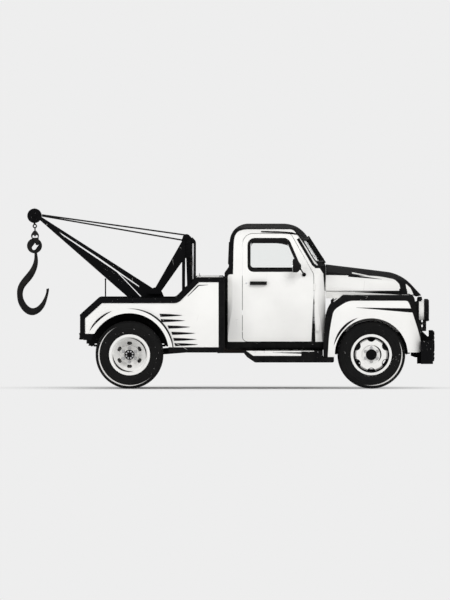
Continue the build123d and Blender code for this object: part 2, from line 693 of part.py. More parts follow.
def bonnet_loft(thinner):
    """Arched bonnet body, thinner by the given amount on every side."""
    sections = []
    for s in BONNET_SECTIONS:
        side, shoulder, crown = s["side"] - thinner, s["shoulder"] - thinner, s["crown"] - thinner
        rows = ((side, 800, 0), (side, crown - 250, 120), (shoulder, crown - 88, 120))
        face = outline(mirrored(rows, peak=((0, crown + 26, shoulder * 2),)))
        sections.append(Pos(s["x"], 0, 0) * (FRONT * face))
    return loft(sections)


def bonnet_form(thinner):
    """Bonnet and nose as one solid, or its hollow when thinner."""
    side = side_prism(outline(BONNET_SIDE, thinner), -FAR, FAR)
    if thinner:
        side = side + Pos(0, 0, -3 * thinner) * side + Pos(0, 0, -8 * thinner) * side
    return bonnet_loft(thinner) & side & plan_prism(outline(BONNET_PLAN, thinner), 0, FAR)


def bonnet():
    """One-piece bonnet that lifts with its rounded nose."""
    keep("bonnet", bonnet_form(0) - bonnet_form(SHEET))


def wing_form(inward, drop=0):
    """Left front wing as a solid block; drop lowers its open underside."""
    over = ((WING_REAR_X, 640, 900), (1262, WING_TOP_Z, 305), (2300, WING_TOP_Z, 90), (WING_FRONT_X, 690, 400))
    if drop:
        side = ((WING_REAR_X, -drop, 0), *over, (WING_FRONT_X, -drop, 0))
    else:
        side = ((WING_REAR_X, 387, 15), *over, (WING_FRONT_X, 442, 25), (FRONT_AXLE_X, 442, 0),
                (FRONT_AXLE_X, 387, 0))
    front = ((WING_INNER_Y, -FAR, 0), (WING_OUTER_Y, -FAR, 0), (WING_OUTER_Y, WING_TOP_Z + 14, 190),
             (WING_INNER_Y, WING_TOP_Z - 20, 0))
    plan = ((1100, WING_INNER_Y, 0), (WING_FRONT_X + 1, WING_INNER_Y, 0), (WING_FRONT_X + 1, WING_OUTER_Y, 190),
            (1100, WING_OUTER_Y, 0))
    form = side_prism(outline(side, inward), 0, FAR) & front_prism(outline(front, inward), 0, FAR)
    return form & plan_prism(outline(plan, inward), 0, FAR)


def front_wings():
    """Pontoon wing shells with open wheel arch, inner apron and a ledge under the bonnet."""
    wing = wing_form(0) - wing_form(SHEET, drop=600)
    arch = across(FRONT_AXLE_X, AXLE_Z, FRONT_ARCH_RADIUS, WING_OUTER_Y - 150, FAR)
    wing = wing - arch
    wing = wing - block((WING_REAR_X + SHEET, WING_FRONT_X - SHEET), (0, WING_INNER_Y + 30), (0, FRAME_TOP_Z + 5))
    ledge = plan_prism(outline((
        (BONNET_REAR_X, 640, 0), (1800, 570, 0), (2140, 507, 0), (2140, 498, 0), (1800, 561, 0),
        (BONNET_REAR_X, 631, 0),
    )), 1100, BONNET_SIDE_Z - 6)
    wing = fuse(wing, ledge - wing_form(SHEET, drop=600))
    keep_pair("front_wing", wing - cab_form(-PANEL_GAP))


def headlamps():
    """Headlamp buckets and rims on the wings' noses, and their lenses."""
    r = HEADLAMP_RADIUS
    bucket = revolve(SIDE * outline((
        (-250, 0, 0), (-250, r - 90, 0), (-150, r - 18, 120), (-62, r - 18, 0), (-62, r, 6),
        (-14, r, 12), (-6, r - 20, 0), (-34, r - 25, 0), (-34, 0, 0),
    )), axis=Axis.X)
    lens = revolve(SIDE * outline((
        (-34, 0, 0), (-34, r - 26, 0), (-20, r - 26, 8), (0, r - 90, 60), (0, 0, 0),
    )), axis=Axis.X)
    place = Pos(HEADLAMP_NOSE_X, HEADLAMP_Y, HEADLAMP_Z)
    keep_pair("headlamp", place * bucket - wing_form(0))
    keep_pair("headlamp_lens", place * lens)


GRILLE_SLOTS = 6
GRILLE_PITCH = 60
GRILLE_SLOT = 34
GRILLE_WINDOWS = ((-352, -188), (-164, -12), (12, 164), (188, 352))
GRILLE_BOTTOM_Z = 696


def grille():
    """Bowed grille panel with rows of slots between upright ribs."""
    def bowed(inward):
        x = 2455 - inward
        arc = ThreePointArc((x - 90, -430), (x, 0), (x - 90, 430))
        rest = Polyline((x - 90, 430), (x - 400, 430), (x - 400, -430), (x - 90, -430))
        return plan_prism(make_face([arc, *rest.edges()]), 0, FAR)

    side = side_prism(outline(((2260, 470, 0), (2455, 470, 0), (2455, 850, 300), (2400, 1112, 0), (2260, 1112, 0))),
                      -FAR, FAR)
    face = front_prism(outline(mirrored(((412, GRILLE_BOTTOM_Z, 30), (428, 1110, 40)))), 2260, FAR)
    panel = (bowed(0) - bowed(26)) & side & face
    for n in range(GRILLE_SLOTS):
        z = GRILLE_BOTTOM_Z + 44 + n * GRILLE_PITCH
        for left, right in GRILLE_WINDOWS:
            panel = panel - block((2260, FAR), (left, right), (z, z + GRILLE_SLOT))
    keep("grille", panel)


def front_bumper():
    """Channel bumper with two push posts, a top push bar and arms to the frame."""
    plan = ((2391, -905, 0), (2465, -905, 40), (BUMPER_FRONT_X, -830, 60), (BUMPER_FRONT_X, 830, 60),
            (2465, 905, 40), (2391, 905, 0))
    hollow = ((2300, -893, 0), (2460, -893, 30), (BUMPER_FRONT_X - 12, -823, 50), (BUMPER_FRONT_X - 12, 823, 50),
              (2460, 893, 30), (2300, 893, 0))
    beam = plan_prism(outline(plan), BUMPER_BOTTOM_Z, BUMPER_BEAM_TOP_Z)
    beam = beam - plan_prism(outline(hollow), BUMPER_BOTTOM_Z + 12, BUMPER_BEAM_TOP_Z - 12)
    inner = FRAME_HALF_WIDTH - RAIL_FLANGE
    post = side_prism(outline((
        (2342, BUMPER_BOTTOM_Z, 0), (2530, BUMPER_BOTTOM_Z, 0), (2530, 590, 0), (BUMPER_FRONT_X, 600, 0),
        (BUMPER_FRONT_X, BUMPER_TOP_Z, 18), (2484, BUMPER_TOP_Z, 18), (2484, 612, 10), (2404, 690, 10),
        (2391, 690, 0), (2391, 543, 0), (2266, 543, 0), (2266, 398, 0), (2318, 378, 0), (2342, 378, 0),
    )), inner, FRAME_HALF_WIDTH)
    top_bar = block((2484, BUMPER_FRONT_X), (-inner - 1, inner + 1), (604, BUMPER_TOP_Z))
    top_bar = top_bar - block((2484, BUMPER_FRONT_X - 12), (-inner + 20, inner - 20), (616, BUMPER_TOP_Z - 12))
    keep("front_bumper", fuse(beam, *both_sides(post), top_bar))


BOARD_SIDE = (
    (366, BOARD_BOTTOM_Z, 40), (268, 387, 30), (207, BOARD_TOP_Z, 0), (WING_REAR_X - 6, BOARD_TOP_Z, 0),
    (WING_REAR_X - 6, 380, 0), (1330, 380, 0), (1330, BOARD_BOTTOM_Z, 20),
)


def running_boards():
    """Boxed running boards below the doors, each on three arms from the frame."""
    board = side_prism(outline(BOARD_SIDE), BOARD_INNER_Y, BOARD_OUTER_Y)
    hollow = side_prism(outline(BOARD_SIDE, BOARD_WALL), BOARD_INNER_Y - 10, BOARD_OUTER_Y - BOARD_WALL)
    opening = Pos(0, 0, -2 * BOARD_WALL) * hollow
    board = board - hollow - opening
    arm_rows = ((FRAME_HALF_WIDTH, 548, 0), (FRAME_HALF_WIDTH, 600, 0), (BOARD_INNER_Y - 20, 456, 0),
                (BOARD_INNER_Y + 30, 456, 0), (BOARD_INNER_Y + 30, 400, 0), (BOARD_INNER_Y - 20, 400, 0))
    arms = [front_prism(outline(arm_rows), x - 20, x + 20) for x in (420, 800, 1140)]
    keep_pair("running_board", fuse(board, *arms))


# ---------------------------------------------------------------- recovery bed
BED_SIDE = (
    (BED_REAR_X, BED_TAIL_Z, 60), (BED_REAR_X, 887, 70), (-1525, RAIL_TOP_Z, 60), (-598, RAIL_TOP_Z, 60),
    (LOCKER_REAR_X - 2, LOCKER_TOP_Z, 25), (BED_FRONT_X, LOCKER_TOP_Z, 15), (BED_FRONT_X, BED_BOTTOM_Z, 10),
    (REAR_ARCH[0], BED_BOTTOM_Z, 0), (REAR_ARCH[0], BED_TAIL_Z, 0),
)
PANEL_INNER_Y = BED_HALF_WIDTH - BED_PANEL
RAIL_Y = (PANEL_INNER_Y, BED_HALF_WIDTH + 8)
BUMPER_BAND_TOP_Z = 672


def bed_rail():
    """Left edge rail of the bed: tail, sloping corner, top, and over the locker."""
    band = side_prism(outline(BED_SIDE), *RAIL_Y) - side_prism(outline(BED_SIDE, BED_BAND), 0, FAR)
    band = band - block((-1300, FAR), (0, FAR), (0, DECK_Z - 5))
    band = band - block((-140, FAR), (0, FAR), (0, LOCKER_TOP_Z - BED_BAND))
    return band - block((-FAR, FAR), (0, FAR), (0, BUMPER_BAND_TOP_Z))


def bed_sides():
    """Side panels with the wheel arch and its flared lip, and the edge rails round them."""
    rail = bed_rail()
    panel = side_prism(outline(BED_SIDE), PANEL_INNER_Y, BED_HALF_WIDTH)
    x, z = REAR_ARCH
    opening = across(x, z, REAR_ARCH_RADIUS, 0, FAR)
    lip = across(x, z, REAR_ARCH_RADIUS + ARCH_LIP, PANEL_INNER_Y, BED_HALF_WIDTH + 18) - opening
    lip = lip - block((-FAR, x), (0, FAR), (-FAR, BUMPER_BAND_TOP_Z)) - block((x, FAR), (0, FAR), (-FAR, 508))
    panel = fuse(panel - opening, lip)
    panel = panel - block((-FAR, x), (0, FAR), (0, BUMPER_BAND_TOP_Z))
    keep_pair("bed_side", panel - rail)
    keep_pair("bed_rail", rail - lip)


DRAW_PLATE_PROUD = 6  # how far the drilled plate stands out of the bumper's face
DRAW_PLATE_HALF = 85


def rear_bumper():
    """Wrap-round rear bumper with a drilled draw plate."""
    band = side_prism(outline(BED_SIDE), -BED_HALF_WIDTH - 4, BED_HALF_WIDTH + 4)
    band = band & block((-FAR, REAR_ARCH[0]), (-FAR, FAR), (0, BUMPER_BAND_TOP_Z - 4))
    x, z = REAR_ARCH
    band = band - across(x, z, REAR_ARCH_RADIUS + 6, -FAR, FAR)
    inside = block((BED_REAR_X + 24, FAR), (-PANEL_INNER_Y, PANEL_INNER_Y), (0, FAR))
    inner = FRAME_HALF_WIDTH - RAIL_FLANGE
    horns = [block((BED_REAR_X + 20, FRAME_REAR_X), y, (BED_TAIL_Z + 4, FRAME_TOP_Z - 20))
             for y in ((inner, FRAME_HALF_WIDTH), (-FRAME_HALF_WIDTH, -inner))]
    plate = block((BED_REAR_X - DRAW_PLATE_PROUD, BED_REAR_X + 30), (-DRAW_PLATE_HALF, DRAW_PLATE_HALF),
                  (BED_TAIL_Z - 4, BUMPER_BAND_TOP_Z - 1))
    body = fuse(band - inside, plate, *horns)
    for y in (-45, 45):
        for z in (BED_TAIL_Z + 18, BED_TAIL_Z + 58):
            body = body - bar((BED_REAR_X - 40, y, z), (BED_REAR_X + 60, y, z), 8)
    keep("rear_bumper", body)


TAIL_SET_IN = 24  # tail panel's outer face, from the bed's outline
TAIL_THICKNESS = 12
WHEEL_HOUSE_Y = 522
LOAD_PLATE_X = (-1430, -1015)  # raised tread plate that loads stand on, clear of the mast's feet and the boom's rest
LOAD_PLATE_HALF = 900
LOAD_PLATE_PROUD = 3


def bed_deck():
    """Deck with its load plate, cranked tail panel and front bulkhead."""
    low = FRAME_TOP_Z + 2
    under = DECK_Z - DECK_THICKNESS
    half = PANEL_INNER_Y - 2
    form = side_prism(outline(BED_SIDE, TAIL_SET_IN), -half, half)
    within = side_prism(outline(BED_SIDE, TAIL_SET_IN + TAIL_THICKNESS), -FAR, FAR)
    front = BED_FRONT_X - 8
    deck = fuse(form & block((-FAR, -100), (-FAR, FAR), (under, DECK_Z)), block((-110, front), (-half, half), (under, DECK_Z)),
                block(LOAD_PLATE_X, (-LOAD_PLATE_HALF, LOAD_PLATE_HALF), (DECK_Z - 5, DECK_Z + LOAD_PLATE_PROUD)))
    tail = (form - within) & block((-FAR, -1550), (-FAR, FAR), (low, DECK_Z - 1))
    bulkhead = block((front - 12, front), (-half, half), (low, under + 1))
    keep("bed_deck", fuse(deck, tail, bulkhead))


BEARERS_X = (-1530, REAR_AXLE_X, -600, -220)


def bed_bearers():
    """Four bearers on posts between the frame and the deck, and the two wheel-house walls."""
    under = DECK_Z - DECK_THICKNESS
    inner = FRAME_HALF_WIDTH - RAIL_FLANGE
    pieces = []
    for x in BEARERS_X:
        beam = block((x - 30, x + 30), (2 - WHEEL_HOUSE_Y, WHEEL_HOUSE_Y - 2), (under - 60, under))
        post = block((x - 30, x + 30), (inner, FRAME_HALF_WIDTH), (FRAME_TOP_Z, under - 59))
        pieces.append(fuse(beam, *both_sides(post)))
    form = side_prism(outline(BED_SIDE, TAIL_SET_IN + TAIL_THICKNESS + 2), WHEEL_HOUSE_Y, WHEEL_HOUSE_Y + 8)
    wall = form & block((-FAR, -620), (0, FAR), (FRAME_TOP_Z + 2, under))
    keep("bed_bearers", loose(*pieces, *both_sides(wall)))


LID_THICKNESS = 12


def locker():
    """Tool locker behind the cab, and its lid."""
    half = RAIL_Y[0] - 6
    x = (LOCKER_REAR_X, BED_FRONT_X - 8)
    body = block(x, (-half, half), (DECK_Z, LOCKER_TOP_Z - LID_THICKNESS - 6))
    w = LOCKER_WALL
    body = body - block((x[0] + w, x[1] - w), (-half + w, half - w), (DECK_Z + w, FAR))
    keep("locker", body)
    keep("locker_lid", block(x, (-half, half), (LOCKER_TOP_Z - LID_THICKNESS, LOCKER_TOP_Z)))


def tail_lamps():
    """Round lamps on the tail panel."""
    x = BED_REAR_X + TAIL_SET_IN
    lamps = [bar((x, y, 770), (x - 22, y, 770), 52) for y in (-820, 820)]
    keep("tail_lamps", loose(*lamps))


# ---------------------------------------------------------------- mast, winch and boom
def post():
    """Left mast post: rolled section with a slotted web, a head plate and a foot plate."""
    y_low, y_high = MAST_Y - POST_WIDTH / 2, MAST_Y + POST_WIDTH / 2
    web_low, web_high = MAST_Y - POST_WEB / 2, MAST_Y + POST_WEB / 2
    rear = side_prism(outline(((POST_REAR_X, DECK_Z, 0), (-489, DECK_Z, 0), (-489, 1800, 0), (POST_REAR_X, 1800, 0))),
                      y_low, y_high)
    front = side_prism(outline(((-402, DECK_Z, 0), (POST_FRONT_X, DECK_Z, 0), (POST_FRONT_X, 1790, 60), (-402, 1840, 0))),
                       y_low, y_high)
    web = block((-492, -398), (web_low, web_high), (DECK_Z, 1810))
    slit = side_prism(outline(((-487, 1232, 6), (-462, 1232, 6), (-474, 1585, 3), (-484, 1585, 3))), 0, FAR)
    head = side_prism(outline((
        (POST_REAR_X, 1595, 0), (POST_FRONT_X, 1595, 0), (POST_FRONT_X, 1772, 60), (-440, MAST_TOP_Z, 55),
        (-505, MAST_TOP_Z, 30), (POST_REAR_X - 5, 1800, 20),
    )), web_low - 6, web_high + 6)
    foot = block((POST_REAR_X - 25, POST_FRONT_X + 8), (y_low - 20, y_high + 20), (DECK_Z, DECK_Z + 14))
    brace = side_prism(outline(((-892, 1150, 0), (-800, 1150, 0), (-489, 1590, 0), (-500, 1800, 0), (POST_REAR_X, 1790, 0))),
                       y_low, y_high)
    return fuse(rear, front, web, head, foot, brace) - slit


def mast():
    """Two posts with braces, a cross head, the head sheave and the boom's foot bracket."""
    left = post()
    ear = side_prism(outline((
        (-985, DECK_Z, 0), (-925, 1190, 40), (-850, 1232, 40), (-770, 1175, 40), (-715, DECK_Z, 0),
    )), BOOM_FOOT_Y + 12, MAST_Y + POST_WIDTH / 2)
    ear = ear - block((-FAR, FAR), (BOOM_FOOT_Y + 46, FAR), (DECK_Z + 40, 1150))
    bore = across(*WINCH, WINCH_SHAFT_RADIUS + RUNNING_GAP, -FAR, FAR)
    pieces = both_sides(fuse(left, ear) - bore)
    reach = MAST_Y - POST_WEB / 2
    pin = across(*PIVOT, PIVOT_PIN_RADIUS, -BOOM_FOOT_Y - 30, BOOM_FOOT_Y + 30)
    head_pin = across(*MAST_SHEAVE, 14, -reach - 20, reach + 20)
    sheave = across(*MAST_SHEAVE, SHEAVE_RADIUS, -22, 22)
    floor = ROPE_PITCH - ROPE_RADIUS - 1
    groove = turned(((-12, SHEAVE_RADIUS + 1, 0), (-11, floor, 0), (11, floor, 0), (12, SHEAVE_RADIUS + 1, 0)))
    sheave = sheave - Pos(MAST_SHEAVE[0], 0, MAST_SHEAVE[1]) * groove
    beam = block((-400, -358), (-reach - 20, reach + 20), (1660, 1770))
    keep("mast", fuse(*pieces, pin, head_pin, sheave, beam))


def boom_rest():
    """Hoop on the deck that the lowered boom lies on."""
    x, z = -1458, 1326
    rods = [bar((x, y, DECK_Z), (x, y, z), 8) for y in (-104, 104)]
    keep("boom_rest", fuse(across(x, z, 11, -112, 112), *rods))


def winch():
    """Hand winch between the posts: drum, flanges, shaft and crank."""
    x, z = WINCH
    drum = across(x, z, 30, -120, 120)
    flanges = [across(x, z, 46, y, y + 12) for y in (-132, 120)]
    shaft = across(x, z, WINCH_SHAFT_RADIUS, -275, 250)
    arm = block((x - 12, x + 12), (-275, -263), (z - CRANK_LENGTH, z + 16))
    handle = across(x, z - CRANK_LENGTH + 12, 12, -365, -263)
    keep("winch_drum", fuse(drum, *flanges, shaft, arm, handle))


BOOM_ROWS = (
    (-2330, 2078, 0), (-2257, 2046, 0), (-1183, 1107, 0), (-1122, 1056, 12), (-925, 1056, 40),
    (-792, 1112, 40), (-792, 1184, 40), (-878, 1214, 30), (-2257, 2098, 0), (-2330, 2124, 0),
)
BOOM_SLIT_UPPER = ((-2020, 1902, 0), (-1990, 1868, 0), (-1049, 1232, 0), (-1049, 1246, 0), (-1560, 1602, 0))
BOOM_SLIT_LOWER = ((-1352, 1462, 0), (-1340, 1436, 0), (-1012, 1092, 0), (-1002, 1098, 0))


def boom():
    """Boom: two slotted side plates that draw together to the round head."""
    foot_x, foot_z = PIVOT
    head_x, head_z = BOOM_HEAD
    profile = side_prism(outline(BOOM_ROWS), 0, FAR)
    profile = profile - side_prism(outline(BOOM_SLIT_UPPER), 0, FAR) - side_prism(outline(BOOM_SLIT_LOWER), 0, FAR)
    leg = plan_prism(outline((
        (head_x - 30, HEAD_HALF_WIDTH, 0), (foot_x - 60, BOOM_FOOT_Y, 0), (foot_x + 80, BOOM_FOOT_Y, 0),
        (foot_x + 80, BOOM_FOOT_Y - BOOM_LEG_WIDTH, 0), (foot_x - 60, BOOM_FOOT_Y - BOOM_LEG_WIDTH, 0),
        (head_x - 30, HEAD_HALF_WIDTH - 34, 0),
    )), 0, FAR)
    legs = both_sides(profile & leg)
    head = across(head_x, head_z, HEAD_RADIUS, -HEAD_HALF_WIDTH, HEAD_HALF_WIDTH)
    ties = [across(x, z, 16, -y, y) for x, z, y in ((-1900, 1777, 50), (-1500, 1465, 66), (-1120, 1130, 80),
                                                    (-1300, 1455, 70))]
    tube = across(foot_x, foot_z, 44, -BOOM_FOOT_Y + 20, BOOM_FOOT_Y - 20)
    body = fuse(*legs, head, tube, *ties)
    body = body - across(foot_x, foot_z, PIVOT_PIN_RADIUS + RUNNING_GAP, -FAR, FAR)
    slot_half = HANGER_HALF_WIDTH + 5
    slot = block((head_x - 120, head_x + 72), (-slot_half, slot_half), (head_z - 200, head_z + 42))
    pin = across(head_x, head_z, HANGER_PIN_RADIUS, -HEAD_HALF_WIDTH, HEAD_HALF_WIDTH)
    keep("boom", fuse(body - slot, pin))


def tangent_point(start, centre, radius, side):
    """Where a line from start touches the circle; side +1 passes above it, -1 below."""
    dx, dz = centre[0] - start[0], centre[1] - start[1]
    reach = hypot(dx, dz)
    lean = side * asin(radius / reach)
    length = sqrt(reach**2 - radius**2) / reach
    return (start[0] + (dx * cos(lean) - dz * sin(lean)) * length,
            start[1] + (dx * sin(lean) + dz * cos(lean)) * length)


ROPE_START = (BOOM_HEAD[0] + HEAD_RADIUS + 6, BOOM_HEAD[1] + 4)


def topping_line():
    """Two falls of wire rope from the boom's head to the mast's sheave."""
    falls = []
    for side, lift in ((1, 6), (-1, -6)):
        start = (ROPE_START[0], ROPE_START[1] + lift)
        end = tangent_point(start, MAST_SHEAVE, ROPE_PITCH, side)
        falls.append(bar((start[0], 0, start[1]), (end[0], 0, end[1]), ROPE_RADIUS))
    keep("topping_line", fuse(*falls))


def ring(radius, wire_radius, plane):
    """Round ring whose hole's axis is the plane's z direction."""
    section = plane * Pos(radius, 0, 0) * Rot(90, 0, 0) * Circle(wire_radius)
    return revolve(section, axis=Axis(plane.origin, plane.z_dir))


def chain():
    """Hanger on the boom's head pin, two links, and the clevis that carries the hook's pin."""
    x, z = BOOM_HEAD
    eye = across(x, z, 32, -HANGER_HALF_WIDTH, HANGER_HALF_WIDTH)
    shank = block((x - 12, x + 12), (-HANGER_HALF_WIDTH, HANGER_HALF_WIDTH), (z - 106, z))
    hanger = fuse(eye, shank) - across(x, z, HANGER_PIN_RADIUS + RUNNING_GAP, -FAR, FAR)
    links = [ring(20, 8, Plane(origin=(x + 4, 0, 1975), z_dir=(0, 1, 0))),
             ring(20, 8, Plane(origin=(x + 6, 0, 1931), z_dir=(1, 0, 0)))]
    px, pz = CLEVIS_PIN
    cx, cz = x + 6, 1857
    cheek = fuse(across(cx, cz, 48, 24, 36), across(px, pz, 22, 24, 36),
                 side_prism(outline(((cx - 40, cz - 10, 0), (px - 20, pz - 4, 0), (px + 21, pz, 0), (cx + 44, cz, 0))), 24, 36))
    window = side_prism(outline(((cx - 34, cz - 24, 12), (cx + 36, cz - 24, 12), (cx + 30, cz + 8, 12), (cx - 28, cz + 8, 12))), 0, FAR)
    cheek = cheek - window
    bridge = block((cx - 32, cx + 32), (-36, 36), (cz + 28, cz + 46))
    neck = bar((cx, 0, cz + 40), (cx, 0, 1918), 14)
    pin = across(px, pz, CLEVIS_PIN_RADIUS, -36, 36)
    keep("chain", fuse(hanger, *links, neck, bridge, *both_sides(cheek), pin))


# centre line of the forged hook, and its width and thickness, from the neck to the point
HOOK_SECTIONS = (
    (-2308, 1665, 38, 34), (-2306, 1607, 39, 36), (-2307, 1546, 52, 44), (-2325, 1473, 67, 52),
    (-2367, 1393, 82, 60), (-2425, 1319, 87, 64), (-2478, 1247, 80, 62), (-2502, 1155, 72, 60),
    (-2487, 1058, 77, 62), (-2433, 972, 85, 66), (-2355, 931, 88, 66), (-2274, 960, 73, 56),
    (-2214, 1033, 54, 42), (-2179, 1119, 34, 28), (-2172, 1210, 15, 14),
)


def hook():
    """Forged hook: slotted eye and a tapering bent shank."""
    faces = []
    for n, (x, z, width, thick) in enumerate(HOOK_SECTIONS):
        before, after = HOOK_SECTIONS[max(n - 1, 0)], HOOK_SECTIONS[min(n + 1, len(HOOK_SECTIONS) - 1)]
        along = Vector(after[0] - before[0], 0, after[1] - before[1])
        faces.append(Plane(origin=(x, 0, z), x_dir=(0, 1, 0), z_dir=along) * Ellipse(thick / 2, width / 2))
    shank = loft(faces)
    s = HOOK_SLOT
    eye = across(*HOOK_EYE, HOOK_EYE_RADIUS, -HOOK_EYE_HALF_WIDTH, HOOK_EYE_HALF_WIDTH)
    slot = Pos(s["x"], s["z"], 0) * Rot(0, 0, s["lean"]) * SlotOverall(s["length"], s["width"])
    keep("hook", fuse(shank, eye) - side_prism(slot, -FAR, FAR))


# ---------------------------------------------------------------- write the files
def main():
    """Builds every node and writes its STEP file."""
    for build in (front_wheels, rear_wheels, front_axle, knuckles, tie_rod, rear_axle, leaf_springs,
                  chassis_frame, engine, radiator, exhaust, cab_shell, cab_glass, doors, seat, dashboard,
                  steering_wheel, bonnet, front_wings, headlamps, grille, front_bumper, running_boards,
                  bed_sides, rear_bumper, bed_deck, bed_bearers, locker, tail_lamps, mast, boom_rest, winch, boom,
                  topping_line, chain, hook):
        build()
    os.makedirs("parts", exist_ok=True)
    for name, shape in PARTS.items():
        export_step(shape, f"parts/{name}.step")


main()
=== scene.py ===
"""Light tow truck, dressed: livery, glass, tyres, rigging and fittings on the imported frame.

Metres. +X forward, +Y to the truck's left, +Z up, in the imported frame's own coordinates.
"""

import logging
import math
from dataclasses import dataclass
from enum import Enum
from typing import Callable, ClassVar, Optional, Sequence, Union

import bmesh
import bpy
from mathutils import Matrix, Vector


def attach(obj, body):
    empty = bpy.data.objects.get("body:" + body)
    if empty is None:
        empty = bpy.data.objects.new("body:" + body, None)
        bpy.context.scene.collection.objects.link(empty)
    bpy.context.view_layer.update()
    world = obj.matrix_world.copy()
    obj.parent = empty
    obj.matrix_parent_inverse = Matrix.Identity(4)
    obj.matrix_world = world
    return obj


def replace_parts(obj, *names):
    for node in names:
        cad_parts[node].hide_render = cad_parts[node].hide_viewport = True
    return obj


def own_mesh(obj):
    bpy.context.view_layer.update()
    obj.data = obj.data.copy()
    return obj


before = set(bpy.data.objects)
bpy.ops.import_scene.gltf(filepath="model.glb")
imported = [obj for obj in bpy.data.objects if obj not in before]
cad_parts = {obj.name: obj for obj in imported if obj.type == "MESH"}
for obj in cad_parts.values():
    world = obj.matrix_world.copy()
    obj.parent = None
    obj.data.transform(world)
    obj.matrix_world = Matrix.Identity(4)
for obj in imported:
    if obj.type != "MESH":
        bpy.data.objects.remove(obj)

LOG = logging.getLogger("tow_truck")

Colour = tuple[float, float, float]
Point = tuple[float, float, float]
Flat = tuple[float, float]
Socket = bpy.types.NodeSocket

CREAM: Colour = (0.86, 0.855, 0.835)
BLACK: Colour = (0.005, 0.005, 0.0055)
FRONT_HUB: Point = (1.785, 0.76, 0.414)
REAR_HUB: Point = (-1.165, 0.775, 0.414)
FRONT_AXLE: Flat = (FRONT_HUB[0], FRONT_HUB[2])
REAR_AXLE: Flat = (REAR_HUB[0], REAR_HUB[2])
SCREEN_NORMAL: Point = (0.843, 0.0, 0.538)


class Side(Enum):
    """Side of the truck; the value is the sign of Y."""

    LEFT = 1
    RIGHT = -1

    @property
    def word(self) -> str:
        """Name ending of the side's nodes."""
        return self.name.lower()

    @property
    def door(self) -> str:
        """Body of the side's door."""
        return f"door_{self.word[0]}"


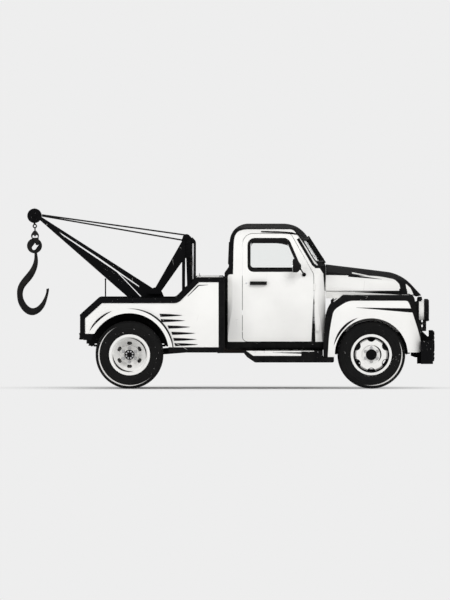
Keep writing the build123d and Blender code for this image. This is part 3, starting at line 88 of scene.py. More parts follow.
# ---------------------------------------------------------------- shading graphs
class Graph:
    """Node tree of one material or of the world."""

    def __init__(self, owner: Union[bpy.types.Material, bpy.types.World]) -> None:
        """Empties the owner's tree.

        Args:
            owner: the material or world whose tree is built.
        """
        owner.use_nodes = True
        self.tree = owner.node_tree
        self.tree.nodes.clear()

    def add(self, kind: str, **settings: object) -> bpy.types.Node:
        """Adds a node.

        Args:
            kind: the node's type name, without the ShaderNode that all begin with.
            settings: properties set on the node.

        Returns:
            The node.
        """
        node = self.tree.nodes.new("ShaderNode" + kind)
        for name, value in settings.items():
            setattr(node, name, value)
        return node

    def feed(self, socket: Socket, value: object) -> None:
        """Links a field or socket to an input, or sets the input's constant.

        Args:
            socket: the input.
            value: a Field, an output socket, or a constant.
        """
        if isinstance(value, Field):
            value = value.source
        if isinstance(value, Socket):
            self.tree.links.new(value, socket)
        else:
            socket.default_value = value

    def place(self) -> tuple["Field", "Field", "Field"]:
        """Returns the surface's X, Y and Z in the truck's frame."""
        coords = self.add("TexCoord")
        split = self.add("SeparateXYZ")
        self.feed(split.inputs[0], coords.outputs["Object"])
        return tuple(Field(self, split.outputs[i]) for i in range(3))

    def noise(self, scale: float, detail: float = 3, stretch: Point = (1, 1, 1), turn: float = 0.0,
              roughness: float = 0.5) -> "Field":
        """Returns cloudy noise from 0 to 1.

        Args:
            scale: cells in a metre.
            detail: octaves.
            stretch: scale of each axis before the noise.
            turn: turn about Y of the noise's axes, in radians.
            roughness: strength of the finer octaves.
        """
        node = self.add("TexNoise")
        self.feed(node.inputs["Vector"], self._mapped(stretch, turn))
        for name, value in (("Scale", scale), ("Detail", detail), ("Roughness", roughness)):
            node.inputs[name].default_value = value
        return Field(self, node.outputs[0])

    def cells(self, scale: float, feature: str = "F1", stretch: Point = (1, 1, 1), turn: float = 0.0) -> "Field":
        """Returns the distance to scattered cell centres, or to their borders.

        Args:
            scale: cells in a metre.
            feature: Voronoi feature.
            stretch: scale of each axis before the pattern.
            turn: turn about Y of the pattern's axes, in radians.
        """
        node = self.add("TexVoronoi", feature=feature)
        self.feed(node.inputs["Vector"], self._mapped(stretch, turn))
        node.inputs["Scale"].default_value = scale
        return Field(self, node.outputs["Distance"])

    def _mapped(self, stretch: Point, turn: float) -> Socket:
        """Returns object coordinates, stretched and turned about Y."""
        coords = self.add("TexCoord")
        mapping = self.add("Mapping")
        self.feed(mapping.inputs["Vector"], coords.outputs["Object"])
        mapping.inputs["Rotation"].default_value = (0, turn, 0)
        mapping.inputs["Scale"].default_value = stretch
        return mapping.outputs[0]

    def blend(self, share: "Field", low: object, high: object) -> Socket:
        """Returns a colour that goes from low to high by share.

        Args:
            share: 0 for low, 1 for high.
            low: colour or colour socket.
            high: colour or colour socket.
        """
        node = self.add("Mix", data_type="RGBA")
        self.feed(node.inputs[0], share)
        for socket, value in ((node.inputs[6], low), (node.inputs[7], high)):
            self.feed(socket, (*value, 1.0) if isinstance(value, tuple) else value)
        return node.outputs[2]

    def bump(self, height: "Field", distance: float, strength: float = 1.0, under: Optional[Socket] = None) -> Socket:
        """Returns a normal bent by a height field.

        Args:
            height: field from 0 to 1.
            distance: real depth in metres of a height of 1.
            strength: share of the effect.
            under: a normal to bend further.
        """
        node = self.add("Bump")
        self.feed(node.inputs["Height"], height)
        node.inputs["Distance"].default_value = distance
        node.inputs["Strength"].default_value = strength
        if under is not None:
            self.feed(node.inputs["Normal"], under)
        return node.outputs[0]

    def shader(self, kind: str, **inputs: object) -> Socket:
        """Adds a shader and returns its output.

        Args:
            kind: the node's type name.
            inputs: its inputs by name, with _ for a space.
        """
        node = self.add(kind)
        for name, value in inputs.items():
            colour = isinstance(value, tuple) and len(value) == 3
            self.feed(node.inputs[name.replace("_", " ")], (*value, 1.0) if colour else value)
        return node.outputs[0]

    def mixed(self, share: object, low: Socket, high: Socket) -> Socket:
        """Returns a shader that goes from low to high by share.

        Args:
            share: 0 for low, 1 for high.
            low: first shader.
            high: second shader.
        """
        node = self.add("MixShader")
        for socket, value in zip(node.inputs, (share, low, high)):
            self.feed(socket, value)
        return node.outputs[0]

    def surface(self, **inputs: object) -> None:
        """Finishes the tree with a principled surface, its inputs given as for a shader."""
        self.end(self.shader("BsdfPrincipled", **inputs))

    def end(self, shader: Socket, output: str = "OutputMaterial") -> None:
        """Joins a shader to the tree's output node."""
        self.feed(self.add(output).inputs["Surface"], shader)


class Field:
    """A number that varies over a surface, with arithmetic made of math nodes."""

    def __init__(self, graph: Graph, source: Union[Socket, float]) -> None:
        """Wraps an output socket or a constant."""
        self.graph = graph
        self.source = source

    def calc(self, operation: str, *others: object) -> "Field":
        """Returns the result of one math node on this field and the others."""
        node = self.graph.add("Math", operation=operation)
        for socket, value in zip(node.inputs, (self, *others)):
            self.graph.feed(socket, value)
        return Field(self.graph, node.outputs[0])

    def __add__(self, other: object) -> "Field":
        """Sum."""
        return self.calc("ADD", other)

    def __sub__(self, other: object) -> "Field":
        """Difference."""
        return self.calc("SUBTRACT", other)

    def __mul__(self, other: object) -> "Field":
        """Product."""
        return self.calc("MULTIPLY", other)

    def __neg__(self) -> "Field":
        """Negative."""
        return self.calc("MULTIPLY", -1.0)

    def __abs__(self) -> "Field":
        """Size without sign."""
        return self.calc("ABSOLUTE")

    def flipped(self) -> "Field":
        """One minus the field."""
        return Field(self.graph, self.calc("MULTIPLY_ADD", -1.0, 1.0).source)

    def least(self, *others: object) -> "Field":
        """Smallest of this field and the others: the union of two regions."""
        result = self
        for other in others:
            result = result.calc("MINIMUM", other)
        return result

    def most(self, *others: object) -> "Field":
        """Largest of this field and the others: the overlap of two regions."""
        result = self
        for other in others:
            result = result.calc("MAXIMUM", other)
        return result

    def rounded(self, other: object, radius: float) -> "Field":
        """Overlap of two regions, with the corner between them rounded off.

        Args:
            other: the other region.
            radius: about the corner's radius.
        """
        return self.calc("SMOOTH_MAX", other, radius)

    def ramp(self, low: float, high: float) -> "Field":
        """Share from 0 at low to 1 at high, held beyond them.

        Args:
            low: value that gives 0.
            high: value that gives 1.
        """
        node = self.graph.add("MapRange", clamp=True)
        self.graph.feed(node.inputs["Value"], self)
        node.inputs["From Min"].default_value = low
        node.inputs["From Max"].default_value = high
        return Field(self.graph, node.outputs[0])

    def inside(self, edge: float = 0.003) -> "Field":
        """Share from a signed distance: 1 inside the region, where it is negative.

        Args:
            edge: width of the soft border.
        """
        return self.ramp(edge / 2, -edge / 2)


class Sketch:
    """Flat regions in the truck's side view as signed distances in metres, negative inside."""

    def __init__(self, graph: Graph) -> None:
        """Takes the surface's X as across and its Z as up.

        Args:
            graph: the material's graph.
        """
        self.across, _, self.up = graph.place()

    def right_of(self, start: Flat, end: Flat) -> Field:
        """Region on the right hand of someone who walks from start to end."""
        dx, dz = end[0] - start[0], end[1] - start[1]
        size = math.hypot(dx, dz)
        nx, nz = -dz / size, dx / size
        return self.across * nx + self.up * nz - (nx * start[0] + nz * start[1])

    def taper(self, start: Flat, end: Flat, start_width: float, end_width: float) -> Field:
        """Stripe between two points whose width changes along it.

        Args:
            start: first end's middle.
            end: second end's middle.
            start_width: width at the first end.
            end_width: width at the second end.
        """
        dx, dz = end[0] - start[0], end[1] - start[1]
        size = math.hypot(dx, dz)
        along = self.across * (dx / size) + self.up * (dz / size) - (dx * start[0] + dz * start[1]) / size
        half = along * ((end_width - start_width) / 2 / size) + start_width / 2
        beside = abs(self.right_of(start, end)) - half
        return beside.most(-along, along - size)

    def radius(self, centre: Flat) -> Field:
        """Distance from a point."""
        x, z = self.across - centre[0], self.up - centre[1]
        return (x * x + z * z).calc("SQRT")

    def arc(self, centre: Flat, radius: float, width: float, middle: float, spread: float) -> Field:
        """Thin arc that narrows to points at its ends.

        Args:
            centre: the arc's centre.
            radius: its radius.
            width: its width in the middle.
            middle: direction of its middle, in degrees from the first axis towards the second.
            spread: half its angle, in degrees.
        """
        turn = math.radians(middle)
        x, z = self.across - centre[0], self.up - centre[1]
        along = x * math.cos(turn) + z * math.sin(turn)
        beside = z * math.cos(turn) - x * math.sin(turn)
        angle = beside.calc("ARCTAN2", along)
        share = abs(angle) * (1 / math.radians(spread))
        half = (share * share).flipped() * (width / 2)
        return abs(self.radius(centre) - radius) - half

    def loop(self, points: Sequence[Flat], corner: float) -> Field:
        """Convex region inside points that go round clockwise, with rounded corners.

        Args:
            points: its corners.
            corner: about the radius of each corner.
        """
        sides = [self.right_of(a, b) for a, b in zip(points, (*points[1:], points[0]))]
        region = sides[0]
        for side in sides[1:]:
            region = region.rounded(side, corner)
        return region


# ---------------------------------------------------------------- livery and painted shade
Livery = Callable[[Graph], Field]


def cab_livery(graph: Graph) -> Field:
    """Black roof, cab back, sill and screen surround, with painted shade in the door's front shut line and in the gap
    at the bonnet's rear; the black cab back is partly painted shade of the gap to the bed.
    """
    sketch = Sketch(graph)
    upper = sketch.loop(((0.088, 1.36), (0.104, 1.84), (0.134, 1.905), (0.2, 1.942), (0.84, 1.942), (0.9, 1.87),
                         (1.3, 1.2436), (1.3, 1.2), (0.088, 1.2)), 0.06)
    lower = sketch.loop(((0.034, 0.56), (0.034, 1.395), (1.4, 1.395), (1.4, 0.56)), 0.05)
    # Black lies outside these pale regions; at the cab back it is partly painted shade of the gap to the bed.
    pale = upper.least(lower)
    drip = sketch.taper((0.456, 1.909), (0.93, 1.884), 0.002, 0.022)
    # Painted shade in the door's front shut line, wider at the bottom.
    shut_shade = sketch.taper((1.086, 1.204), (1.078, 0.57), 0.004, 0.05)
    # Painted shade in the gap between the cab and the bonnet's rear edge.
    bonnet_gap_shade = sketch.taper((1.214, 1.56), (1.214, 1.19), 0.05, 0.004)
    pillar = sketch.taper((0.89, 1.83), (1.078, 1.512), 0.036, 0.034)
    corner = sketch.taper((1.066, 1.524), (1.112, 1.486), 0.034, 0.034).least(
        sketch.taper((1.098, 1.487), (1.235, 1.484), 0.034, 0.036))
    sill = sketch.up - 0.572
    return (-pale).least(drip, shut_shade, bonnet_gap_shade, pillar, corner, sill).inside()


def bonnet_livery(graph: Graph) -> Field:
    """Black bonnet top that sweeps down over the nose, with a pale painted highlight on the nose and a painted shade
    stripe along its foot where it meets the wings.
    """
    sketch = Sketch(graph)
    top = -sketch.loop(((1.0, 1.2), (1.0, 1.388), (1.86, 1.372), (2.07, 1.33), (2.13, 1.27), (2.158, 1.05)), 0.03)
    slit = sketch.taper((1.55, 1.409), (1.86, 1.352), 0.016, 0.003)
    # Painted shade where the bonnet meets the wings.
    foot = sketch.taper((1.585, 1.177), (2.16, 1.166), 0.003, 0.05)
    wedge = sketch.taper((1.505, 1.379), (1.915, 1.331), 0.034, 0.002)
    # Painted highlight: a pale triangle on the black nose.
    flash = sketch.loop(((2.205, 1.277), (2.262, 1.225), (2.3, 1.145), (2.222, 1.145)), 0.008)
    corner = sketch.loop(((2.125, 1.215), (2.219, 1.215), (2.219, 1.1), (2.125, 1.1)), 0.004)
    return top.least(wedge.most(-slit)).most(-slit, -flash).least(foot, corner).inside()


def wing_livery(graph: Graph) -> Field:
    """Black wing crown, partly painted shade of its rounded top, and black rear edge, with a tapered flash, a painted
    shade line along the arch and a painted shade stripe where the wing meets the bonnet.
    """
    sketch = Sketch(graph)
    # Above this pale region the wing's crown is black, partly as painted shade of its rounded top.
    pale = sketch.loop(((1.25, 0.3), (1.268, 0.7), (1.325, 0.96), (1.5, 1.073), (2.26, 1.073), (2.3, 0.93),
                        (2.36, 0.78), (2.4, 0.66), (2.4, 0.3)), 0.06)
    flash = sketch.taper((1.602, 0.99), (2.33, 0.952), 0.003, 0.056)
    # Painted shade line along the arch's lip.
    arch = sketch.arc((1.8, 0.415), 0.484, 0.03, 139, 28)
    # Painted shade stripe where the wing meets the bonnet.
    crown = sketch.taper((1.585, 1.177), (2.16, 1.166), 0.003, 0.05)
    ledge = (-sketch.up + 1.144).most(-crown)
    notch = sketch.loop(((1.2, 1.17), (1.47, 1.165), (1.33, 1.062), (1.2, 1.06)), 0.004)
    return (-pale).most(-ledge, -notch).least(flash, arch).inside()


def lamp_livery(graph: Graph) -> Field:
    """Black headlamp bucket and rim, with a pale band between them."""
    return (-abs(Sketch(graph).across - 2.3975) + 0.0305).inside()


def bed_livery(graph: Graph) -> Field:
    """Black sill and shadow lines of the flared arch on the bed's sides, and a black front edge that is partly painted
    shade of the gap to the cab.
    """
    sketch = Sketch(graph)
    centre = (-1.17, 0.438)
    sill = sketch.up - 0.508
    # Black front edge, partly painted shade of the gap to the cab.
    front = -sketch.across - 0.079
    right = sketch.arc(centre, 0.54, 0.022, 42, 50)
    left = sketch.arc(centre, 0.552, 0.026, 132, 20)
    line = sketch.taper((-0.455, 1.128), (-0.325, 1.26), 0.006, 0.016)
    ledge = sketch.taper((-0.325, 1.262), (-0.205, 1.268), 0.014, 0.003)
    return sill.least(front, right, left, line, ledge).inside()


def board_livery(graph: Graph) -> Field:
    """Black lower edge, rear end, front end and wedge of the running boards."""
    sketch = Sketch(graph)
    wedge = sketch.taper((0.59, 0.441), (0.935, 0.436), 0.002, 0.02)
    x, z = sketch.across, sketch.up
    front = (-x + 0.93).most(z - 0.455)
    rear = sketch.taper((0.12, 0.52), (0.335, 0.375), 0.07, 0.055)
    return (z - 0.402).least(wedge, front, -x + 1.085, rear).inside()


def front_wheel_livery(graph: Graph) -> Field:
    """Black hub of the front wheels, with painted shade in the gap ring, in the hand holes and along the disc's raised
    dome.
    """
    sketch = Sketch(graph)
    radius = sketch.radius(FRONT_AXLE)
    # Painted shade in the gap between the rim's flange and the disc.
    gap = abs(radius - 0.2095) - 0.0105
    # Painted shade line along the disc's raised dome, on one side only.
    line = sketch.arc(FRONT_AXLE, 0.116, 0.018, 15, 62)
    region = gap.least(radius - 0.066, line)
    for k in range(6):
        turn = math.radians(90 + 60 * k)
        middle = (FRONT_AXLE[0] + 0.212 * math.cos(turn), FRONT_AXLE[1] + 0.212 * math.sin(turn))
        # Painted shade in each hand hole, on whatever shows through it.
        hole_shade = sketch.radius(middle) - 0.054
        region = region.least(hole_shade.most(radius - 0.22))
    return region.inside()


def rear_wheel_livery(graph: Graph) -> Field:
    """Black hub of the rear wheels, and two painted shade lines along their pressed step."""
    sketch = Sketch(graph)
    hub = sketch.radius(REAR_AXLE) - 0.062
    # Two painted shade lines along the pressed step, each on part of the ring only.
    lines = [sketch.arc(REAR_AXLE, 0.203, *line) for line in ((0.016, 40, 58), (0.02, 232, 55))]
    return hub.least(*lines).inside()


# ---------------------------------------------------------------- finishes
@dataclass(frozen=True)
class Finish:
    """A look whose subclasses draw its node tree.

    Args:
        name: material name.
    """

    name: str

    def build(self) -> bpy.types.Material:
        """Returns the material."""
        material = bpy.data.materials.new(self.name)
        self.draw(Graph(material))
        return material

    def draw(self, graph: Graph) -> None:
        """Draws the node tree.

        Args:
            graph: the material's empty tree.
        """


@dataclass(frozen=True)
class Enamel(Finish):
    """Sprayed enamel in one or two colours, with dust, fine scratches and chips, and the painted shade and highlights
    of its livery.

    Args:
        colour: main colour.
        livery: where the black of the second colour goes, painted shade included; its pale gaps include painted
            highlights.
        roughness: mean roughness.
        chips: 0 for none, 1 for a hard life.
        specular: strength of its clear reflection.
        dulling: how much rougher the second colour is.
    """

    colour: Colour = CREAM
    livery: Optional[Livery] = None
    roughness: float = 0.46
    chips: float = 0.5
    specular: float = 0.05
    dulling: float = 0.42

    def draw(self, graph: Graph) -> None:
        """Draws clouded and dusty paint with its livery, painted shade and highlights included, and marks."""
        cloud = graph.noise(2.2, 4)
        grime = graph.noise(9.0, 6, roughness=0.7)
        dulled = tuple(c * 0.93 for c in self.colour)
        colour = graph.blend(cloud.ramp(0.35, 0.7), self.colour, dulled)
        rough = cloud * 0.1 + (self.roughness - 0.05) + grime.ramp(0.5, 0.8) * 0.1
        if self.livery:
            # The livery's black is partly two-tone paint and partly painted shade.
            dark = self.livery(graph)
            rough = rough + dark * self.dulling
            black = graph.blend(grime.ramp(0.4, 0.75), BLACK, (0.012, 0.0118, 0.0115))
            colour = graph.blend(dark, colour, black)
        if self.chips:
            colour = self._chipped(graph, colour)
        peel = graph.bump(graph.noise(190, 2), 0.0004, 0.35)
        graph.surface(Base_Color=colour, Roughness=rough, Normal=peel, Specular_IOR_Level=self.specular)

    def _chipped(self, graph: Graph, colour: Socket) -> Socket:
        """Returns the colour with stone chips and long scratches down to pale primer.

        Args:
            graph: the material's graph.
            colour: the paint's colour.
        """
        worn = graph.noise(3.1, 2).ramp(0.5, 0.62)
        flecks = graph.noise(48, 3, (1, 1, 1.6)).ramp(0.735 - 0.03 * self.chips, 0.745 - 0.03 * self.chips)
        scratch = graph.cells(2.6, "DISTANCE_TO_EDGE", (1, 1, 0.45), 0.7).ramp(0.0032, 0.0018)
        marks = (flecks * worn).most(scratch * graph.noise(5.5, 2).ramp(0.6, 0.63))
        return graph.blend(marks * min(1.0, 0.5 + self.chips / 2), colour, (0.62, 0.61, 0.59))


@dataclass(frozen=True)
class Rubber(Finish):
    """Tyre or seal rubber with dust in its hollows and, if lines are given, pale painted highlight lines on the
    sidewalls.

    Args:
        dust: share of road dust.
        lines: painted highlight lines on the sidewall as (centre, middle direction, half angle).
        line_radius: radius of the lines.
        line_width: their width in the middle.
    """

    dust: float = 0.5
    lines: tuple[tuple[Flat, float, float], ...] = ()
    line_radius: float = 0.374
    line_width: float = 0.016

    def draw(self, graph: Graph) -> None:
        """Draws dusty rubber and the painted highlight lines."""
        dusty = graph.noise(6, 5, roughness=0.65).ramp(0.42, 0.85) * self.dust
        colour = graph.blend(dusty, (0.0055, 0.0055, 0.0055), (0.035, 0.033, 0.031))
        if self.lines:
            # Painted highlight: pale arcs on the sidewalls, with random pale flecks of wear.
            sketch = Sketch(graph)
            first, *others = [sketch.arc(centre, self.line_radius, self.line_width, middle, spread)
                              for centre, middle, spread in self.lines]
            flecks = graph.noise(46, 3).ramp(0.7, 0.712) * graph.noise(4, 2).ramp(0.46, 0.6)
            colour = graph.blend(first.least(*others).inside().most(flecks * 0.8), colour, (0.72, 0.71, 0.69))
        grain = graph.bump(graph.noise(260, 3), 0.0005, 0.5)
        graph.surface(Base_Color=colour, Roughness=graph.noise(14, 3) * 0.2 + 0.68, Normal=grain,
                      Specular_IOR_Level=0.1)


@dataclass(frozen=True)
class Metal(Finish):
    """Bare, cast, oiled or plated metal.

    Args:
        colour: its colour.
        metallic: 1 for a bare surface, 0 for a blackened one.
        roughness: mean roughness.
        grain: depth of the surface's grain in metres.
        scale: cells of the grain in a metre.
        stain: colour of stains, if any.
        specular: strength of its clear reflection where it isn't bare.
    """

    colour: Colour
    metallic: float = 1.0
    roughness: float = 0.35
    grain: float = 0.0004
    scale: float = 120
    stain: Optional[Colour] = None
    specular: float = 0.3

    def draw(self, graph: Graph) -> None:
        """Draws a grained surface with cloudy stains."""
        cloud = graph.noise(11, 5, roughness=0.6)
        stain = self.stain or tuple(c * 0.7 for c in self.colour)
        colour = graph.blend(cloud.ramp(0.42, 0.72), self.colour, stain)
        rough = cloud * 0.25 + (self.roughness - 0.12)
        normal = graph.bump(graph.noise(self.scale, 4), self.grain, 0.5)
        graph.surface(Base_Color=colour, Metallic=self.metallic, Roughness=rough, Normal=normal,
                      Specular_IOR_Level=self.specular)


@dataclass(frozen=True)
class Pane(Finish):
    """Clear or tinted glass.

    Args:
        colour: tint.
        roughness: blur.
        flutes: pitch in metres of moulded vertical flutes, 0 for none.
        bend: index of refraction, low since a pane has both its faces.
    """

    colour: Colour
    roughness: float = 0.02
    flutes: float = 0.0
    bend: float = 1.12

    def draw(self, graph: Graph) -> None:
        """Draws glass that lets shadow rays straight through."""
        glass = graph.shader("BsdfGlass", Color=self.colour, Roughness=self.roughness, IOR=self.bend)
        if self.flutes:
            _, y, _ = graph.place()
            wave = (y * (2 * math.pi / self.flutes)).calc("SINE")
            graph.feed(glass.node.inputs["Normal"], graph.bump(wave * 0.5 + 0.5, 0.003, 0.6))
        clear = graph.shader("BsdfTransparent", Color=self.colour)
        rays = graph.add("LightPath")
        graph.end(graph.mixed(rays.outputs["Is Shadow Ray"], glass, clear))


@dataclass(frozen=True)
class Hide(Finish):
    """Seat leather or leathercloth with grain and rubbed crowns.

    Args:
        colour: its colour where it isn't rubbed.
    """

    colour: Colour

    def draw(self, graph: Graph) -> None:
        """Draws grained and creased leather."""
        rubbed = graph.noise(5, 4).ramp(0.45, 0.75)
        colour = graph.blend(rubbed, self.colour, tuple(min(1.0, c * 1.9 + 0.01) for c in self.colour))
        grain = graph.bump(graph.cells(420, "DISTANCE_TO_EDGE").ramp(0.0, 0.25), 0.0006, 0.5)
        creased = graph.bump(graph.noise(38, 4, (1, 3, 1)), 0.002, 0.3, grain)
        graph.surface(Base_Color=colour, Roughness=rubbed * -0.12 + 0.55, Normal=creased, Specular_IOR_Level=0.4)


@dataclass(frozen=True)
class Stage(Finish):
    """Pale floor that fades into the backdrop's even tone.

    Args:
        tone: its grey.
        reach: distance in metres from the frame's origin where the fade ends.
        near: share of the reach where it starts.
    """

    tone: float = 0.86
    reach: float = 3.3
    near: float = 0.32

    def draw(self, graph: Graph) -> None:
        """Draws a matt floor near the truck and an even tone far from it."""
        x, y, _ = graph.place()
        far = (x * x + y * y).calc("SQRT").ramp(self.reach * self.near, self.reach)
        grey = (self.tone,) * 3
        matt = graph.shader("BsdfDiffuse", Color=grey)
        even = graph.shader("Emission", Color=grey)
        graph.end(graph.mixed(far, matt, even))


# ---------------------------------------------------------------- mesh building
def smooth_sharp(obj: bpy.types.Object, angle: float) -> None:
    """Shades a mesh smooth, with sharp edges where faces meet at more than the angle.

    Args:
        obj: the mesh object.
        angle: limit in degrees.
    """
    obj.data.shade_smooth()
    obj.data.set_sharp_from_angle(angle=math.radians(angle))


def frame_along(direction: Vector) -> Matrix:
    """Returns a turn that takes Z to the direction."""
    return direction.to_track_quat("Z", "Y").to_matrix().to_4x4()


class Piece:
    """One piece of the scene, built up from simple closed forms.

    Edges over SHARP radians are bevelled; a turned section closes on its axis under a radius of ON_AXIS.
    """

    SHARP: ClassVar[float] = 0.6
    ON_AXIS: ClassVar[float] = 1e-6

    def __init__(self, name: str) -> None:
        """Starts an empty mesh.

        Args:
            name: the piece's name.
        """
        self.name = name
        self.mesh = bmesh.new()

    def _bevel(self, verts: Sequence[bmesh.types.BMVert], bevel: float, segments: int = 2) -> None:
        """Bevels the edges of a form just made.

        Args:
            verts: its vertices.
            bevel: width of the bevel, 0 for none.
            segments: segments of the bevel.
        """
        if bevel:
            edges = {edge for vert in verts for edge in vert.link_edges}
            sharp = [e for e in edges if len(e.link_faces) == 2 and e.calc_face_angle(0) > self.SHARP]
            bmesh.ops.bevel(self.mesh, geom=sharp, offset=bevel, segments=segments, profile=0.7, affect="EDGES",
                            clamp_overlap=True)

    def box(self, low: Point, high: Point, bevel: float = 0.0, turn: Optional[Matrix] = None) -> "Piece":
        """Adds a block.

        Args:
            low: its lowest corner.
            high: its highest corner.
            bevel: width of its rounded edges.
            turn: a turn about the block's middle.
        """
        middle = (Vector(low) + Vector(high)) / 2
        size = Vector(high) - Vector(low)
        place = Matrix.Translation(middle) @ (turn or Matrix.Identity(4)) @ Matrix.Diagonal((*size, 1))
        made = bmesh.ops.create_cube(self.mesh, size=1, matrix=place)
        self._bevel(made["verts"], bevel)
        return self

    def rod(self, start: Point, end: Point, radius: float, tip: Optional[float] = None, sides: int = 20,
            bevel: float = 0.0) -> "Piece":
        """Adds a round bar, or a cone when its tip has another radius.

        Args:
            start: first end's centre.
            end: second end's centre.
            radius: radius at the start.
            tip: radius at the end.
            sides: sides round it.
            bevel: width of its rounded rims.
        """
        a, b = Vector(start), Vector(end)
        place = Matrix.Translation((a + b) / 2) @ frame_along(b - a)
        made = bmesh.ops.create_cone(self.mesh, cap_ends=True, segments=sides, radius1=radius,
                                     radius2=radius if tip is None else tip, depth=(b - a).length, matrix=place)
        self._bevel(made["verts"], bevel)
        return self

    def ball(self, centre: Point, radius: float, stretch: Point = (1, 1, 1), sides: int = 20) -> "Piece":
        """Adds a ball or an ellipsoid.

        Args:
            centre: its centre.
            radius: its radius.
            stretch: scale along each axis.
            sides: sides round it.
        """
        place = Matrix.Translation(centre) @ Matrix.Diagonal((*stretch, 1))
        bmesh.ops.create_uvsphere(self.mesh, u_segments=sides, v_segments=sides // 2, radius=radius, matrix=place)
        return self

    def lathe(self, rows: Sequence[Flat], centre: Point, axis: Point = (0, 1, 0), sides: int = 48) -> "Piece":
        """Adds a turned form from a closed section.

        Args:
            rows: section points as (along the axis, radius).
            centre: where along is 0 on the axis.
            axis: direction of the axis.
            sides: sides round it.
        """
        turn = frame_along(Vector(axis))
        rings = []
        for k in range(sides):
            angle = 2 * math.pi * k / sides
            rings.append([self.mesh.verts.new(Vector(centre) + turn @ Vector(
                (r * math.cos(angle), r * math.sin(angle), along))) for along, r in rows])
        for k in range(sides):
            for n in range(len(rows)):
                m = (n + 1) % len(rows)
                a, b = rings[k], rings[(k + 1) % sides]
                corners = (a[n], a[m], b[m], b[n])
                if max(rows[n][1], rows[m][1]) < self.ON_AXIS:
                    continue
                self.mesh.faces.new(corners)
        return self

    def sweep(self, path: Sequence[Point], section: Sequence[Flat], closed: bool = False,
              up: Point = (0, 0, 1)) -> "Piece":
        """Adds a closed section carried along a path.

        Args:
            path: points of the path.
            section: the section's points as (sideways, up).
            closed: whether the path joins its own start.
            up: direction that the section's up stays nearest to.
        """
        points = [Vector(p) for p in path]
        count = len(points)
        rings = []
        for n, point in enumerate(points):
            before = points[n - 1] if n or closed else point
            after = points[(n + 1) % count] if n + 1 < count or closed else point
            along = (after - before).normalized()
            sideways = along.cross(Vector(up)).normalized()
            rise = sideways.cross(along)
            rings.append([self.mesh.verts.new(point + sideways * s + rise * u) for s, u in section])
        runs = range(count if closed else count - 1)
        size = len(section)
        for n in runs:
            a, b = rings[n], rings[(n + 1) % count]
            for k in range(size):
                m = (k + 1) % size
                self.mesh.faces.new((a[k], a[m], b[m], b[k]))
        if not closed:
            self.mesh.faces.new(rings[0])
            self.mesh.faces.new(list(reversed(rings[-1])))
        return self

    def tube(self, path: Sequence[Point], radius: float, sides: int = 12, closed: bool = False,
             up: Point = (0, 0, 1)) -> "Piece":
        """Adds a round tube along a path.

        Args:
            path: points of the path.
            radius: the tube's radius.
            sides: sides round it.
            closed: whether the path joins its own start.
            up: a direction that the path never runs along.
        """
        ring = [(radius * math.cos(2 * math.pi * k / sides), radius * math.sin(2 * math.pi * k / sides))
                for k in range(sides)]
        return self.sweep(path, ring, closed, up)

    def plate(self, rows: Sequence[Flat], low: float, high: float, across: str = "y", bevel: float = 0.0) -> "Piece":
        """Adds a flat plate with the given outline.

        Args:
            rows: outline points in the two axes other than across, in the order X, Y, Z.
            low: start of its thickness.
            high: end of its thickness.
            across: the axis along its thickness.
            bevel: width of its rounded edges.
        """
        def corner(a: float, b: float, t: float) -> Vector:
            return Vector({"x": (t, a, b), "y": (a, t, b), "z": (a, b, t)}[across])

        bottom = [self.mesh.verts.new(corner(a, b, low)) for a, b in rows]
        top = [self.mesh.verts.new(corner(a, b, high)) for a, b in rows]
        count = len(rows)
        self.mesh.faces.new(bottom)
        self.mesh.faces.new(list(reversed(top)))
        for n in range(count):
            m = (n + 1) % count
            self.mesh.faces.new((bottom[n], top[n], top[m], bottom[m]))
        self._bevel([*bottom, *top], bevel)
        return self

    def bolt(self, centre: Point, axis: Point, size: float = 0.01, stand: float = 0.008) -> "Piece":
        """Adds a hexagon bolt head on a washer.

        Args:
            centre: where its washer sits.
            axis: outward direction.
            size: radius over the head's corners.
            stand: height of the head.
        """
        base, out = Vector(centre), Vector(axis).normalized()
        self.rod(base - out * 0.002, base + out * 0.002, size * 1.35, sides=16)
        self.rod(base, base + out * stand, size, size * 0.94, sides=6)
        return self

    def mirror(self) -> "Piece":
        """Adds the same forms on the other side of the centre plane."""
        made = bmesh.ops.duplicate(self.mesh, geom=[*self.mesh.verts, *self.mesh.edges, *self.mesh.faces])["geom"]
        verts = [g for g in made if isinstance(g, bmesh.types.BMVert)]
        for vert in verts:
            vert.co.y = -vert.co.y
        return self

    def done(self, finish: bpy.types.Material, slot: str, angle: float = 35, body: str = "truck",
             side: Side = Side.LEFT) -> bpy.types.Object:
        """Makes the object and hangs it on its body.

        Args:
            finish: its material.
            slot: the record's material slot; not used.
            angle: sharp-edge limit in degrees.
            body: the body that it moves with.
            side: RIGHT turns the forms over to the other side of the truck.

        Returns:
            The object.
        """
        if side is Side.RIGHT:
            for vert in self.mesh.verts:
                vert.co.y = -vert.co.y
        bmesh.ops.recalc_face_normals(self.mesh, faces=self.mesh.faces)
        data = bpy.data.meshes.new(self.name)
        self.mesh.to_mesh(data)
        self.mesh.free()
        data.materials.append(finish)
        obj = bpy.data.objects.new(self.name, data)
        bpy.context.scene.collection.objects.link(obj)
        smooth_sharp(obj, angle)
        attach(obj, body)
        LOG.info("piece %s: %d faces, moves with %s", self.name, len(data.polygons), body)
        return obj


def ring_points(centre: Point, radius: float, plane: str = "xz", count: int = 32, start: float = 0.0,
                end: float = 360.0) -> list[Point]:
    """Points round a circle or an arc.

    Args:
        centre: its centre.
        radius: its radius.
        plane: the two axes that it lies in.
        count: number of points.
        start: first direction in degrees.
        end: last direction in degrees; a full turn leaves the last point out.

    Returns:
        The points.
    """
    full = abs(end - start) >= 360
    steps = count if full else count - 1
    points = []
    for k in range(count):
        angle = math.radians(start + (end - start) * k / steps)
        offset = dict(zip(plane, (radius * math.cos(angle), radius * math.sin(angle))))
        points.append(tuple(centre[n] + offset.get(axis, 0.0) for n, axis in enumerate("xyz")))
    return points


